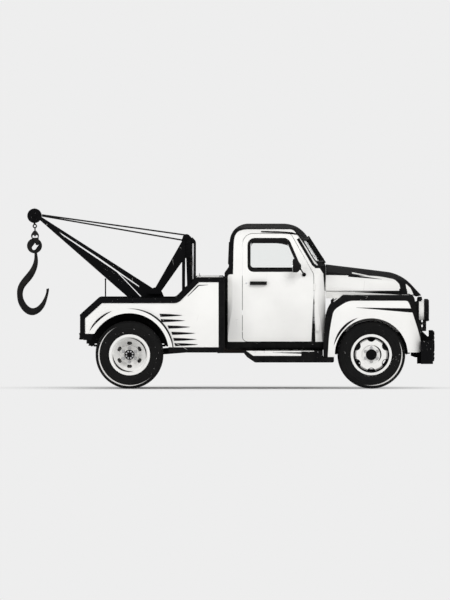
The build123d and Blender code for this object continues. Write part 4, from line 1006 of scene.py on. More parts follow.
# ---------------------------------------------------------------- finishes in use
class Paints:
    """Every material of the truck, built once."""

    def __init__(self) -> None:
        """Builds the materials."""
        self.cab = Enamel("cab_enamel", livery=cab_livery).build()
        self.bonnet = Enamel("bonnet_enamel", livery=bonnet_livery).build()
        self.wing = Enamel("wing_enamel", livery=wing_livery).build()
        self.bed = Enamel("bed_enamel", livery=bed_livery).build()
        self.board = Enamel("board_enamel", livery=board_livery).build()
        self.cream = Enamel("cream_enamel").build()
        self.front_wheel = Enamel("front_wheel_enamel", livery=front_wheel_livery, chips=0.3).build()
        self.rear_wheel = Enamel("rear_wheel_enamel", livery=rear_wheel_livery, chips=0.3).build()
        self.black = Enamel("black_enamel", BLACK, roughness=0.8, chips=1.0, specular=0.04).build()
        self.lamp = Enamel("lamp_enamel", livery=lamp_livery, chips=0.2).build()
        self.chassis = Enamel("chassis_paint", (0.009, 0.009, 0.009), roughness=0.7, chips=0.0, specular=0.05).build()
        self.dash = Enamel("dash_enamel", (0.1, 0.1, 0.095), chips=0.0).build()
        # The tyre's pale sidewall arcs are painted highlights.
        self.tyre = Rubber("tyre_rubber", 0.15, ((FRONT_AXLE, -38, 62), (REAR_AXLE, -145, 95))).build()
        self.seal = Rubber("seal_rubber", 0.2).build()
        self.forged = Metal("forged_steel", (0.007, 0.007, 0.0075), 0.15, 0.72, 0.0012, 60, (0.02, 0.018, 0.016),
                            0.1).build()
        self.rope = Metal("rope_steel", (0.01, 0.01, 0.01), 0.25, 0.6, 0.0003, 300, (0.02, 0.019, 0.018), 0.1).build()
        self.cast = Metal("cast_iron", (0.1, 0.105, 0.105), 0.3, 0.62, 0.0012, 160, (0.045, 0.04, 0.036)).build()
        self.steel = Metal("bright_steel", (0.52, 0.52, 0.53), 1.0, 0.32, 0.0001, 200, (0.4, 0.39, 0.38)).build()
        self.exhaust = Metal("exhaust_steel", (0.022, 0.019, 0.018), 0.4, 0.7, 0.0006, 90,
                             (0.045, 0.026, 0.018)).build()
        self.plating = Metal("bright_plating", (0.8, 0.81, 0.82), 1.0, 0.1, 0.00002, 30, (0.74, 0.74, 0.74)).build()
        self.glass = Pane("window_glass", (0.985, 0.99, 0.988)).build()
        self.lens = Pane("lamp_lens", (0.93, 0.94, 0.94), 0.05, 0.012).build()
        self.red = Pane("red_lens", (0.62, 0.02, 0.015), 0.06, 0.01).build()
        self.bakelite = Metal("black_bakelite", (0.015, 0.014, 0.013), 0.0, 0.22, 0.00005, 40).build()
        self.leather = Hide("seat_leather", (0.035, 0.028, 0.022)).build()
        self.wood = Metal("grip_wood", (0.02, 0.012, 0.008), 0.0, 0.6, 0.0004, 70, (0.035, 0.02, 0.012)).build()


# ---------------------------------------------------------------- sub-assemblies
@dataclass
class Assembly:
    """A sub-assembly of the truck: its fittings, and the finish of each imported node.

    Its subclasses hold their sizes as fields, in metres, and list their coats as (finish, node names).
    """

    coats: ClassVar[tuple[tuple[str, str], ...]] = ()

    def build(self, paints: Paints) -> None:
        """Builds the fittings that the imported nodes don't have.

        Args:
            paints: the truck's materials.
        """

    def dress(self, paints: Paints) -> None:
        """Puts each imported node's finish on it.

        Args:
            paints: the truck's materials.
        """
        for finish, names in self.coats:
            for name in names.split():
                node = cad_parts[name]
                if not node.material_slots:
                    node.data.materials.append(None)
                for slot in node.material_slots:
                    slot.link = "OBJECT"
                    slot.material = getattr(paints, finish)
                LOG.info("node %s: %s", name, finish)


def pair(name: str) -> str:
    """Returns the left and right node names of a pair."""
    return f"{name}_left {name}_right"


def round_hub(hub: Point, radius: float, angle: float, y: float) -> Point:
    """Returns a point round a wheel's axis.

    Args:
        hub: the wheel's centre.
        radius: distance from the axis.
        angle: direction in degrees, from forward towards up.
        y: its place across the truck.
    """
    turn = math.radians(angle)
    return (hub[0] + radius * math.cos(turn), y, hub[2] + radius * math.sin(turn))


@dataclass
class Tyres(Assembly):
    """Cross-ply tyres with three ribs, shoulder lugs and raised sidewall rings."""

    twin: float = 0.111
    lugs: int = 44
    lug_size: Point = (0.012, 0.026, 0.03)
    wall: tuple[Flat, ...] = (
        (0.05, 0.2275), (0.052, 0.2525), (0.07, 0.257), (0.0865, 0.272), (0.096, 0.298), (0.0978, 0.315),
        (0.1, 0.317), (0.1002, 0.3215), (0.0984, 0.324), (0.0984, 0.342), (0.0995, 0.344), (0.099, 0.348),
        (0.0966, 0.351), (0.0945, 0.366), (0.0905, 0.386), (0.0845, 0.4), (0.078, 0.406), (0.052, 0.411),
        (0.051, 0.4015), (0.043, 0.4015), (0.042, 0.412), (0.02, 0.4134), (0.019, 0.4035), (0.012, 0.4035),
        (0.011, 0.414),
    )
    coats = (("tyre", pair("tyre_front") + " " + pair("tyres_rear")),)

    def build(self, paints: Paints) -> None:
        """Builds one piece for each front tyre and each pair of rear tyres."""
        for side in Side:
            for body, node, hubs in (
                    (f"front_wheel_{side.word}", f"tyre_front_{side.word}", (FRONT_HUB,)),
                    (f"rear_wheels_{side.word}", f"tyres_rear_{side.word}",
                     tuple((REAR_HUB[0], REAR_HUB[1] + shift, REAR_HUB[2]) for shift in (-self.twin, self.twin)))):
                piece = Piece(f"tread_{node}")
                for hub in hubs:
                    self._tyre(piece, hub)
                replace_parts(piece.done(paints.tyre, "tyre_rubber", 30, body=body, side=side), node)

    def _tyre(self, piece: Piece, hub: Point) -> None:
        """Adds one tyre round a hub."""
        rows = [*self.wall, *((-along, radius) for along, radius in reversed(self.wall))]
        piece.lathe(rows, hub, sides=112)
        for n in range(self.lugs):
            for place, shift in ((0.0815, 0.0), (-0.0815, 0.5)):
                angle = 360 * (n + shift) / self.lugs
                middle = Vector(round_hub(hub, 0.4025, angle, hub[1] + place))
                half = Vector(self.lug_size) / 2
                turn = Matrix.Rotation(-math.radians(angle), 4, "Y")
                piece.box(middle - half, middle + half, turn=turn)


@dataclass
class Wheels(Assembly):
    """Nuts, hub caps, half-shaft flanges and valves of the wheels."""

    front_face: float = 0.798
    rear_face: float = 0.788
    coats = (("front_wheel", pair("wheel_front")), ("rear_wheel", pair("wheels_rear")))

    def build(self, paints: Paints) -> None:
        """Builds the fittings of each wheel."""
        for side in Side:
            body = f"front_wheel_{side.word}"
            nuts = Piece(f"wheel_nuts_front_{side.word}")
            self._nuts(nuts, FRONT_HUB, 0.083, self.front_face, 6)
            nuts.done(paints.steel, "forged_steel", 30, body=body, side=side)
            cap = Piece(f"hub_cap_front_{side.word}")
            cap.lathe(((0, 0), (0, 0.057), (0.006, 0.0585), (0.012, 0.056), (0.018, 0.044), (0.0225, 0.026),
                       (0.0235, 0)), (FRONT_HUB[0], 0.828, FRONT_HUB[2]))
            cap.lathe(((0, 0.06), (0.004, 0.06), (0.006, 0.064), (0.002, 0.0665), (0, 0.066)),
                      (FRONT_HUB[0], 0.7985, FRONT_HUB[2]))
            cap.rod((FRONT_HUB[0], 0.85, FRONT_HUB[2]), (FRONT_HUB[0], 0.8555, FRONT_HUB[2]), 0.012, sides=6)
            cap.done(paints.black, "black_paint", 30, body=body, side=side)
            valve = Piece(f"valve_front_{side.word}")
            self._valve(valve, FRONT_HUB, 0.196, 63, self.front_face - 0.012, 0.034)
            valve.done(paints.steel, "forged_steel", 30, body=body, side=side)
            body = f"rear_wheels_{side.word}"
            nuts = Piece(f"wheel_nuts_rear_{side.word}")
            self._nuts(nuts, REAR_HUB, 0.087, self.rear_face, 6)
            for n in range(8):
                nuts.bolt(round_hub(REAR_HUB, 0.042, 45 * n + 22.5, 0.9265), (0, 1, 0), 0.0075, 0.008)
            nuts.done(paints.steel, "forged_steel", 30, body=body, side=side)
            cap = Piece(f"half_shaft_flange_{side.word}")
            cap.lathe(((-0.006, 0), (-0.006, 0.0565), (0.0, 0.058), (0.003, 0.056), (0.003, 0.029),
                       (0.012, 0.025), (0.0145, 0.018), (0.0145, 0)), (REAR_HUB[0], 0.925, REAR_HUB[2]))
            cap.done(paints.black, "black_paint", 30, body=body, side=side)
            valve = Piece(f"valve_rear_{side.word}")
            self._valve(valve, REAR_HUB, 0.186, 63, 0.872, 0.04)
            valve.done(paints.steel, "forged_steel", 30, body=body, side=side)

    def _nuts(self, piece: Piece, hub: Point, radius: float, y: float, count: int) -> None:
        """Adds a ring of wheel nuts on studs."""
        for n in range(count):
            place = round_hub(hub, radius, 360 * (n + 0.5) / count, y)
            piece.bolt(place, (0, 1, 0), 0.015, 0.017)
            piece.rod(place, (place[0], y + 0.024, place[2]), 0.0068, sides=12)

    def _valve(self, piece: Piece, hub: Point, radius: float, angle: float, y: float, reach: float) -> None:
        """Adds a tyre valve with its cap."""
        foot = round_hub(hub, radius, angle, y - 0.02)
        tip = (foot[0], y + reach, foot[2])
        piece.rod(foot, tip, 0.004, sides=12)
        piece.rod((foot[0], y + reach - 0.012, foot[2]), tip, 0.0055, sides=10)


@dataclass
class CabShell(Assembly):
    """Cab outside: pane seals, centre bar, wipers, drip rails, door hinges, mirrors, locks and grab handle."""

    screen_foot: float = 1.502
    cowl_front: float = 1.225
    rake: float = 320 / 501
    bow_radius: float = 2.5
    coats = (("cab", "cab_shell " + pair("door")), ("glass", "cab_glass " + pair("door_glass")),
             ("seal", pair("door_trim")))

    def screen_at(self, y: float, z: float, out: float = 0.0) -> Point:
        """Returns a point on the windscreen's outer surface.

        Args:
            y: its place across the truck.
            z: its height.
            out: how far it stands off the surface.
        """
        bow = self.bow_radius - math.sqrt(self.bow_radius ** 2 - y * y)
        x = self.cowl_front - self.rake * (z - self.screen_foot) - bow
        return (x + out * SCREEN_NORMAL[0], y, z + out * SCREEN_NORMAL[2])

    def build(self, paints: Paints) -> None:
        """Builds the fittings of the cab's outside."""
        self._screen(paints)
        self._rear_window(paints)
        self._wipers(paints)
        self._rails(paints)
        for side in Side:
            self._door_fittings(paints, side)

    def _rounded(self, corners: Sequence[tuple[float, float, float]], steps: int = 7) -> list[Flat]:
        """Returns an outline of (y, z) points with its corners rounded.

        Args:
            corners: (y, z, radius) of each corner.
            steps: points on each rounded corner.
        """
        points = []
        for n, (y, z, radius) in enumerate(corners):
            here = Vector((y, z))
            back = (Vector(corners[n - 1][:2]) - here).normalized()
            ahead = (Vector(corners[(n + 1) % len(corners)][:2]) - here).normalized()
            half = back.angle(ahead) / 2
            reach = radius / math.tan(half)
            start, end = here + back * reach, here + ahead * reach
            for k in range(steps):
                t = k / (steps - 1)
                points.append(tuple(start.lerp(here, t).lerp(here.lerp(end, t), t)))
        return points

    def _screen(self, paints: Paints) -> None:
        """Builds the rubber round both windscreen panes and the bar between them."""
        seal = Piece("windscreen_seal")
        corners = ((0.008, 1.543, 0.02), (0.694, 1.543, 0.065), (0.64, 1.823, 0.065), (0.008, 1.823, 0.02))
        ring = self._rounded(corners)
        dense = []
        for a, b in zip(ring, (*ring[1:], ring[0])):
            parts = max(1, round(math.dist(a, b) / 0.05))
            dense += [(a[0] + (b[0] - a[0]) * k / parts, a[1] + (b[1] - a[1]) * k / parts) for k in range(parts)]
        path = [self.screen_at(y, z, 0.001) for y, z in dense]
        section = ((-0.014, -0.022), (0.013, -0.022), (0.013, 0.002), (0.008, 0.008), (-0.006, 0.009), (-0.014, 0.002))
        seal.sweep(path, section, closed=True, up=SCREEN_NORMAL).mirror()
        seal.done(paints.seal, "trim_black", 40)
        bar = Piece("windscreen_centre_bar")
        path = [self.screen_at(0, z, 0.002) for z in (1.52, 1.6, 1.7, 1.8, 1.845)]
        bar.sweep(path, ((-0.019, -0.012), (0.019, -0.012), (0.019, 0.01), (0.01, 0.02), (-0.01, 0.02),
                         (-0.019, 0.01)), up=SCREEN_NORMAL)
        bar.done(paints.cab, "cream_paint", 40)

    def _rear_window(self, paints: Paints) -> None:
        """Builds the rubber round the rear pane."""
        seal = Piece("rear_window_seal")
        ring = self._rounded(((-0.486, 1.524, 0.075), (0.486, 1.524, 0.075), (0.476, 1.766, 0.075),
                              (-0.476, 1.766, 0.075)))
        path = [(0.0435 + 0.021 * (z - 1.47) / 0.533, y, z) for y, z in ring]
        seal.sweep(path, ((-0.013, -0.022), (0.013, -0.022), (0.013, 0.002), (0.006, 0.009), (-0.006, 0.009),
                          (-0.013, 0.002)), closed=True, up=(-1, 0, 0.04))
        seal.done(paints.seal, "trim_black", 40)

    def _wipers(self, paints: Paints) -> None:
        """Builds the two windscreen wipers, parked low."""
        wipers = Piece("wipers")
        for pivot, tip in ((0.3, 0.575), (-0.3, -0.025)):
            foot, root = self.screen_at(pivot, 1.527, -0.004), self.screen_at(pivot, 1.527, 0.02)
            wipers.rod(foot, root, 0.013, 0.009, sides=16)
            arm = [root, self.screen_at(pivot + (tip - pivot) * 0.5, 1.56, 0.026),
                   self.screen_at(tip - 0.06, 1.602, 0.02)]
            wipers.tube(arm, 0.0035, 8)
            blade = [self.screen_at(tip - 0.17 + 0.036 * k, 1.583 + 0.0043 * k, 0.012) for k in range(10)]
            wipers.sweep(blade, ((-0.0035, -0.011), (0.0035, -0.011), (0.005, 0.002), (-0.005, 0.002)),
                         up=SCREEN_NORMAL)
            wipers.rod(self.screen_at(tip - 0.06, 1.6, 0.01), self.screen_at(tip - 0.06, 1.603, 0.024), 0.005, sides=8)
        wipers.done(paints.black, "black_paint", 40)

    def _rails(self, paints: Paints) -> None:
        """Builds the drip rails over the doors."""
        rails = Piece("drip_rails")
        path = [(0.44, 0.706, 1.915), (0.55, 0.7062, 1.913), (0.65, 0.7065, 1.911), (0.75, 0.7078, 1.905),
                (0.82, 0.709, 1.898), (0.92, 0.714, 1.87)]
        rails.sweep(path, ((-0.006, -0.004), (0.007, -0.004), (0.008, 0.008), (0.004, 0.009), (0.003, 0.001),
                           (-0.006, 0.001))).mirror()
        rails.done(paints.black, "black_paint", 40)

    def _door_fittings(self, paints: Paints, side: Side) -> None:
        """Builds one door's hinges, mirror glass and bracket, and lock, and the left side's grab handle."""
        hinges = Piece(f"door_hinges_{side.word}")
        for z in (0.735, 1.235):
            hinges.rod((1.0905, 0.817, z - 0.045), (1.0905, 0.817, z + 0.045), 0.0085, sides=16, bevel=0.0015)
            hinges.box((1.092, 0.79, z - 0.036), (1.15, 0.8085, z + 0.036), 0.003)
            for dz in (-0.02, 0.02):
                hinges.bolt((1.128, 0.8085, z + dz), (0, 1, 0), 0.006, 0.004)
        hinges.done(paints.cab, "cream_paint", side=side)
        glass = Piece(f"mirror_glass_{side.word}")
        glass.lathe(((0, 0), (0, 0.063), (-0.003, 0.062), (-0.0035, 0)), (0.8262, 0.962, 1.492), axis=(1, 0, 0),
                    sides=40)
        glass.done(paints.plating, "trim_black", 30, body=side.door, side=side)
        clamp = Piece(f"mirror_bracket_{side.word}")
        clamp.rod((0.905, 0.955, 1.47), (0.905, 0.955, 1.505), 0.014, sides=16, bevel=0.002)
        clamp.rod((0.965, 0.8, 1.392), (0.965, 0.834, 1.392), 0.014, sides=16, bevel=0.002)
        for dz in (-0.016, 0.016):
            clamp.bolt((0.965, 0.8265, 1.392 + dz), (0, 1, 0), 0.0045, 0.004)
        clamp.done(paints.black, "trim_black", body=side.door, side=side)
        lock = Piece(f"door_lock_{side.word}")
        lock.lathe(((0, 0), (0, 0.012), (0.006, 0.011), (0.007, 0)), (0.262, 0.8115, 1.287), sides=24)
        lock.box((0.2602, 0.818, 1.28), (0.2638, 0.8192, 1.294))
        lock.done(paints.plating, "trim_black", body=side.door, side=side)
        if side is Side.LEFT:
            self._grab_handle(paints)

    def _grab_handle(self, paints: Paints) -> None:
        """Builds the grab handle behind the left door."""
        grab = Piece("grab_handle_left")
        grab.tube([(0.12, 0.795, 1.47), (0.118, 0.822, 1.463), (0.118, 0.832, 1.44), (0.118, 0.832, 1.24),
                   (0.118, 0.826, 1.218), (0.12, 0.8, 1.21)], 0.0085, 12, up=(1, 0, 0))
        grab.rod((0.12, 0.8, 1.467), (0.12, 0.8095, 1.467), 0.018, 0.013, sides=20)
        grab.rod((0.12, 0.8, 1.211), (0.12, 0.8155, 1.211), 0.018, 0.013, sides=20)
        grab.done(paints.black, "black_paint")


@dataclass
class DoorTrim(Assembly):
    """Inside of the doors: padded card, arm rest, window header, winder and latch lever."""

    card_y: float = 0.757

    def build(self, paints: Paints) -> None:
        """Builds the inside fittings of both doors."""
        for side in Side:
            y = self.card_y
            card = Piece(f"door_card_{side.word}")
            rows = ((0.262, 0.66), (0.262, 1.372), (0.29, 1.392), (0.965, 1.392), (1.01, 1.33), (1.03, 0.9),
                    (1.03, 0.68), (1.0, 0.655), (0.285, 0.64))
            card.plate(rows, y - 0.016, y + 0.006, "y", 0.006)
            for n in range(6):
                x = 0.345 + 0.11 * n
                card.plate(((x, 0.8), (x, 1.22), (x + 0.085, 1.22), (x + 0.085, 0.8)), y - 0.024, y - 0.01, "y", 0.008)
            card.done(paints.leather, "seat_leather", 50, body=side.door, side=side)
            rest = Piece(f"arm_rest_{side.word}")
            rest.plate(((0.34, 1.215), (0.34, 1.262), (0.36, 1.272), (0.66, 1.272), (0.69, 1.25), (0.66, 1.215)),
                       y - 0.072, y - 0.012, "y", 0.012)
            rest.done(paints.leather, "seat_leather", 50, body=side.door, side=side)
            header = Piece(f"window_header_{side.word}")
            header.plate(((0.322, 1.742), (0.322, 1.792), (0.34, 1.812), (0.7, 1.812), (0.745, 1.792), (0.772, 1.742),
                          (0.745, 1.752), (0.691, 1.766), (0.623, 1.773), (0.345, 1.773), (0.33, 1.764),
                          (0.325, 1.742)), 0.694, 0.7215, "y", 0.001)
            header.done(paints.seal, "trim_black", 40, body=side.door, side=side)
            metal = Piece(f"door_winder_{side.word}")
            metal.rod((0.8, y - 0.012, 1.08), (0.8, y - 0.044, 1.08), 0.017, 0.013, sides=20)
            metal.tube([(0.8, y - 0.04, 1.08), (0.825, y - 0.043, 1.045), (0.848, y - 0.044, 0.995)], 0.0055, 10,
                       up=(0, 1, 0))
            metal.rod((0.848, y - 0.04, 0.992), (0.848, y - 0.076, 0.992), 0.0105, 0.0125, sides=16, bevel=0.003)
            metal.rod((0.9, y - 0.012, 1.3), (0.9, y - 0.036, 1.3), 0.015, 0.012, sides=20)
            metal.tube([(0.9, y - 0.032, 1.3), (0.86, y - 0.038, 1.302), (0.8, y - 0.036, 1.298)], 0.006, 10,
                       up=(0, 1, 0))
            metal.done(paints.plating, "trim_black", body=side.door, side=side)


@dataclass
class Pad:
    """A stuffed cushion that swells between its sewn seams.

    Args:
        name: piece name.
        rows: side outline as (x, z) points.
        half_width: half its length across the truck.
        seams: places across the truck of its sewn flutes.
        held: whether a point is fixed to the seat's frame.
        voxel: size of its mesh.
        cap: how far a point may swell.
        pressure: the cloth run's pressure.
        frames: the cloth run's frames.
        groove: half width of a sewn groove.
        sink: depth of a sewn groove.
    """

    name: str
    rows: tuple[Flat, ...]
    half_width: float
    seams: tuple[float, ...]
    held: Callable[[Vector], bool]
    voxel: float = 0.0115
    cap: float = 0.02
    pressure: float = 3.2
    frames: int = 16
    groove: float = 0.016
    sink: float = 0.011

    def make(self, paints: Paints) -> bpy.types.Object:
        """Returns the swollen cushion.

        Args:
            paints: the truck's materials.
        """
        shape = Piece(self.name)
        shape.plate(self.rows, -self.half_width, self.half_width, "y", 0.022)
        pad = shape.done(paints.leather, "seat_leather", 60)
        remesh = pad.modifiers.new("even", "REMESH")
        remesh.mode, remesh.voxel_size = "VOXEL", self.voxel
        self._apply(pad, 0.0)
        self._crease(pad)
        self._swell(pad)
        pad.data.shade_smooth()
        return pad

    def _apply(self, pad: bpy.types.Object, cap: float) -> None:
        """Turns the modifiers' result into the mesh, each point moved by at most cap if cap is given."""
        rest = [v.co.copy() for v in pad.data.vertices]
        graph = bpy.context.evaluated_depsgraph_get()
        graph.update()
        made = bpy.data.meshes.new_from_object(pad.evaluated_get(graph), depsgraph=graph)
        made.materials.clear()
        for slot in pad.data.materials:
            made.materials.append(slot)
        if cap and len(made.vertices) == len(rest):
            for vert, start in zip(made.vertices, rest):
                move = vert.co - start
                if move.length > cap:
                    vert.co = start + move * (cap / move.length)
        pad.modifiers.clear()
        pad.data = made

    def _crease(self, pad: bpy.types.Object) -> None:
        """Sinks the sewn seams into the faces that show."""
        for vert in pad.data.vertices:
            if self.held(vert.co):
                continue
            depth = max(0.0, *(1 - abs(vert.co.y - seam) / self.groove for seam in self.seams))
            vert.co -= vert.normal * (self.sink * depth * depth)

    def _swell(self, pad: bpy.types.Object) -> None:
        """Blows the cushion up between its seams with a short cloth simulation."""
        scene = bpy.context.scene
        pins = pad.vertex_groups.new(name="sewn")
        fixed = [v.index for v in pad.data.vertices
                 if self.held(v.co) or any(abs(v.co.y - seam) < self.groove / 2 for seam in self.seams)]
        pins.add(fixed, 1.0, "REPLACE")
        cloth = pad.modifiers.new("swell", "CLOTH")
        settings = cloth.settings
        settings.quality = 4
        settings.tension_stiffness = settings.compression_stiffness = 8
        settings.bending_stiffness = 2
        settings.use_pressure, settings.uniform_pressure_force = True, self.pressure
        settings.vertex_group_mass = "sewn"
        settings.effector_weights.gravity = 0
        cloth.point_cache.frame_start, cloth.point_cache.frame_end = 1, self.frames
        for step in range(1, self.frames + 1):
            scene.frame_set(step)
        self._apply(pad, self.cap)
        pad.vertex_groups.clear()
        scene.frame_set(1)


@dataclass
class Seat(Assembly):
    """Bench seat: fluted cushion and squab with piping, on a painted riser."""

    half_width: float = 0.628
    flutes: int = 9
    coats = (("leather", "seat"),)

    def build(self, paints: Paints) -> None:
        """Builds the cushions, their piping, the riser and the runners."""
        step = 2 * self.half_width / self.flutes
        seams = tuple(-self.half_width + step * n for n in range(1, self.flutes))
        cushion = Pad("seat_cushion", ((0.25, 0.885), (0.25, 1.0), (0.3, 1.006), (0.65, 1.014), (0.676, 0.985),
                                       (0.668, 0.885)), self.half_width, seams, lambda p: p.z < 0.905).make(paints)
        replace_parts(cushion, "seat")
        Pad("seat_back", ((0.118, 0.96), (0.11, 1.425), (0.172, 1.44), (0.196, 1.41), (0.272, 1.03), (0.262, 0.96)),
            self.half_width, seams, lambda p: p.x < 0.128).make(paints)
        piping = Piece("seat_piping")
        for y in (-self.half_width - 0.002, self.half_width + 0.002):
            piping.tube([(0.255, y, 1.008), (0.4, y, 1.016), (0.64, y, 1.02), (0.672, y, 1.006), (0.68, y, 0.975),
                         (0.672, y, 0.895)], 0.0048, 8, up=(0, 1, 0))
            piping.tube([(0.268, y, 1.02), (0.235, y, 1.18), (0.205, y, 1.36), (0.188, y, 1.432), (0.16, y, 1.446),
                         (0.118, y, 1.434)], 0.0048, 8, up=(0, 1, 0))
        piping.done(paints.seal, "seat_leather", 40)
        riser = Piece("seat_riser")
        riser.box((0.105, -0.6, 0.7055), (0.61, 0.6, 0.88), 0.01)
        for n in range(5):
            riser.box((0.6085, -0.52 + 0.22 * n, 0.75), (0.6145, -0.36 + 0.22 * n, 0.835), 0.0025)
        riser.done(paints.dash, "dash_paint")
        runners = Piece("seat_runners")
        for y in (-0.5, 0.5):
            runners.box((0.15, y - 0.022, 0.875), (0.64, y + 0.022, 0.887), 0.002)
            runners.tube([(0.63, y, 0.879), (0.672, y, 0.875), (0.682, y, 0.862)], 0.005, 8, up=(0, 1, 0))
        runners.done(paints.steel, "dash_paint")


@dataclass
class Controls(Assembly):
    """Cab inside: dials, knobs, glove box lid, levers, pedals, mat, horn button, mirror and roof lamp."""

    face_foot: Flat = (1.08, 1.18)
    face_slope: float = 6.0
    lean: float = -9.5
    coats = (("dash", "dashboard"), ("bakelite", "steering_wheel"))

    def build(self, paints: Paints) -> None:
        """Builds the dashboard's fittings and the driver's controls."""
        self._dials(paints)
        self._levers(paints)
        self._pedals(paints)
        self._column(paints)
        mirror = Piece("inside_mirror")
        mirror.plate(((-0.1, 1.742), (-0.11, 1.765), (-0.1, 1.792), (0.1, 1.792), (0.11, 1.765), (0.1, 1.742)),
                     0.902, 0.914, "x", 0.004)
        mirror.tube([(0.912, 0, 1.77), (0.935, 0, 1.8), (0.952, 0, 1.832)], 0.005, 10, up=(0, 1, 0))
        mirror.done(paints.black, "trim_black")
        lamp = Piece("roof_lamp")
        lamp.rod((0.5, 0, 1.97), (0.5, 0, 1.945), 0.055, 0.042, sides=32, bevel=0.004)
        lamp.done(paints.lens, "lamp_glass")

    def _face_at(self, z: float) -> float:
        """Returns where the dashboard's face stands at a height."""
        return self.face_foot[0] - (z - self.face_foot[1]) / self.face_slope

    def _dial(self, bezel: Piece, face: Piece, marks: Piece, y: float, z: float, radius: float) -> None:
        """Adds one dial with its rim, ticks and hand."""
        lean = math.radians(self.lean)
        x = self._face_at(z)
        out = Vector((-math.cos(lean), 0, math.sin(lean)))
        base = Vector((x, y, z)) + out * 0.001
        bezel.lathe(((-0.004, radius * 0.9), (0.01, radius * 0.9), (0.013, radius * 0.97), (0.011, radius * 1.06),
                     (0.0, radius * 1.12), (-0.004, radius * 1.12)), base, axis=out, sides=40)
        face.lathe(((-0.003, 0), (-0.003, radius * 0.91), (0.002, radius * 0.91), (0.002, 0)), base, axis=out, sides=40)
        side = Vector((0, 1, 0))
        rise = out.cross(side)
        for n in range(9):
            turn = math.radians(-120 + 30 * n)
            way = rise * math.cos(turn) + side * math.sin(turn)
            marks.rod(base + way * radius * 0.68 + out * 0.0025, base + way * radius * 0.84 + out * 0.0025,
                      radius * 0.022, sides=6)
        way = rise * math.cos(-0.9) + side * math.sin(-0.9)
        marks.rod(base - way * radius * 0.15 + out * 0.004, base + way * radius * 0.62 + out * 0.004, radius * 0.035,
                  radius * 0.012, sides=6)
        marks.rod(base + out * 0.002, base + out * 0.007, radius * 0.09, sides=12)

    def _dials(self, paints: Paints) -> None:
        """Builds the dials, knobs and glove-box lid."""
        bezel, face, marks = Piece("dial_rims"), Piece("dial_faces"), Piece("dial_marks")
        self._dial(bezel, face, marks, 0.365, 1.33, 0.062)
        for y in (0.215, 0.12, 0.515, 0.6):
            self._dial(bezel, face, marks, y, 1.325, 0.03)
        bezel.done(paints.plating, "dash_paint", 40)
        face.done(paints.bakelite, "dash_paint", 40)
        marks.done(paints.cream, "dash_paint", 40)
        knobs = Piece("dash_knobs")
        x = self._face_at(1.225)
        for y in (-0.1, -0.02, 0.06, 0.14, 0.22):
            knobs.rod((x + 0.005, y, 1.225), (x - 0.02, y, 1.228), 0.004, sides=10)
            knobs.rod((x - 0.018, y, 1.2275), (x - 0.034, y, 1.23), 0.0125, 0.0105, sides=20, bevel=0.002)
        knobs.done(paints.bakelite, "dash_paint", 40)
        lid = Piece("glove_box_lid")
        lid.plate(((1.0735, 1.215), (1.0465, 1.385), (1.0425, 1.3845), (1.0695, 1.2145)), -0.6, -0.24, "y", 0.001)
        lid.rod((1.06, -0.42, 1.355), (1.036, -0.42, 1.352), 0.014, 0.012, sides=24, bevel=0.002)
        lid.done(paints.dash, "dash_paint")

    def _levers(self, paints: Paints) -> None:
        """Builds the gear lever, the hand brake and their boots."""
        rods = Piece("gear_lever")
        rods.tube([(0.8, 0.17, 0.7), (0.795, 0.172, 0.78), (0.765, 0.18, 0.95), (0.735, 0.188, 1.06)], 0.0075, 12,
                  up=(0, 1, 0))
        rods.tube([(0.7, 0.04, 0.7), (0.665, 0.04, 0.86), (0.64, 0.04, 0.96)], 0.009, 12, up=(0, 1, 0))
        rods.done(paints.steel, "trim_black", 40)
        grips = Piece("lever_grips")
        grips.ball((0.733, 0.189, 1.072), 0.024, (1, 1, 1.1), 24)
        grips.rod((0.652, 0.04, 0.915), (0.632, 0.04, 0.992), 0.0145, 0.013, sides=16, bevel=0.003)
        for x, y, r in ((0.8, 0.17, 0.062), (0.698, 0.04, 0.048)):
            grips.lathe(((-0.004, 0), (-0.004, r), (0.006, r), (0.01, r * 0.8), (0.022, r * 0.74), (0.026, r * 0.54),
                         (0.04, r * 0.5), (0.046, r * 0.26), (0.06, r * 0.2), (0.06, 0)), (x, y, 0.7055),
                        axis=(0, 0, 1), sides=32)
        grips.done(paints.seal, "trim_black", 45)

    def _pedals(self, paints: Paints) -> None:
        """Builds the three pedals and the floor mat."""
        pads, arms = Piece("pedal_pads"), Piece("pedal_arms")
        for y in (0.3, 0.43):
            pads.plate(((0.985, 0.83), (1.025, 0.905), (1.012, 0.912), (0.972, 0.837)), y - 0.035, y + 0.035, "y",
                       0.003)
            for n in range(4):
                x, z = 0.98 + 0.0095 * n, 0.8455 + 0.018 * n
                pads.box((x - 0.004, y - 0.03, z - 0.003), (x + 0.002, y + 0.03, z + 0.003))
            arms.tube([(1.005, y, 0.868), (1.055, y, 0.835), (1.08, y, 0.77), (1.085, y, 0.7)], 0.008, 10, up=(0, 1, 0))
        pads.plate(((0.985, 0.715), (1.09, 0.85), (1.082, 0.857), (0.977, 0.722)), 0.53, 0.58, "y", 0.003)
        arms.tube([(1.05, 0.555, 0.8), (1.095, 0.555, 0.8), (1.13, 0.555, 0.83)], 0.006, 10, up=(0, 1, 0))
        pads.done(paints.seal, "trim_black", 40)
        arms.done(paints.black, "trim_black", 40)
        mat = Piece("floor_mat")
        mat.box((0.66, -0.66, 0.705), (1.13, 0.66, 0.711), 0.002)
        for n in range(21):
            y = -0.6 + 0.06 * n
            mat.box((0.68, y - 0.008, 0.7108), (1.11, y + 0.008, 0.7138), 0.001)
        mat.done(paints.seal, "trim_black", 40)

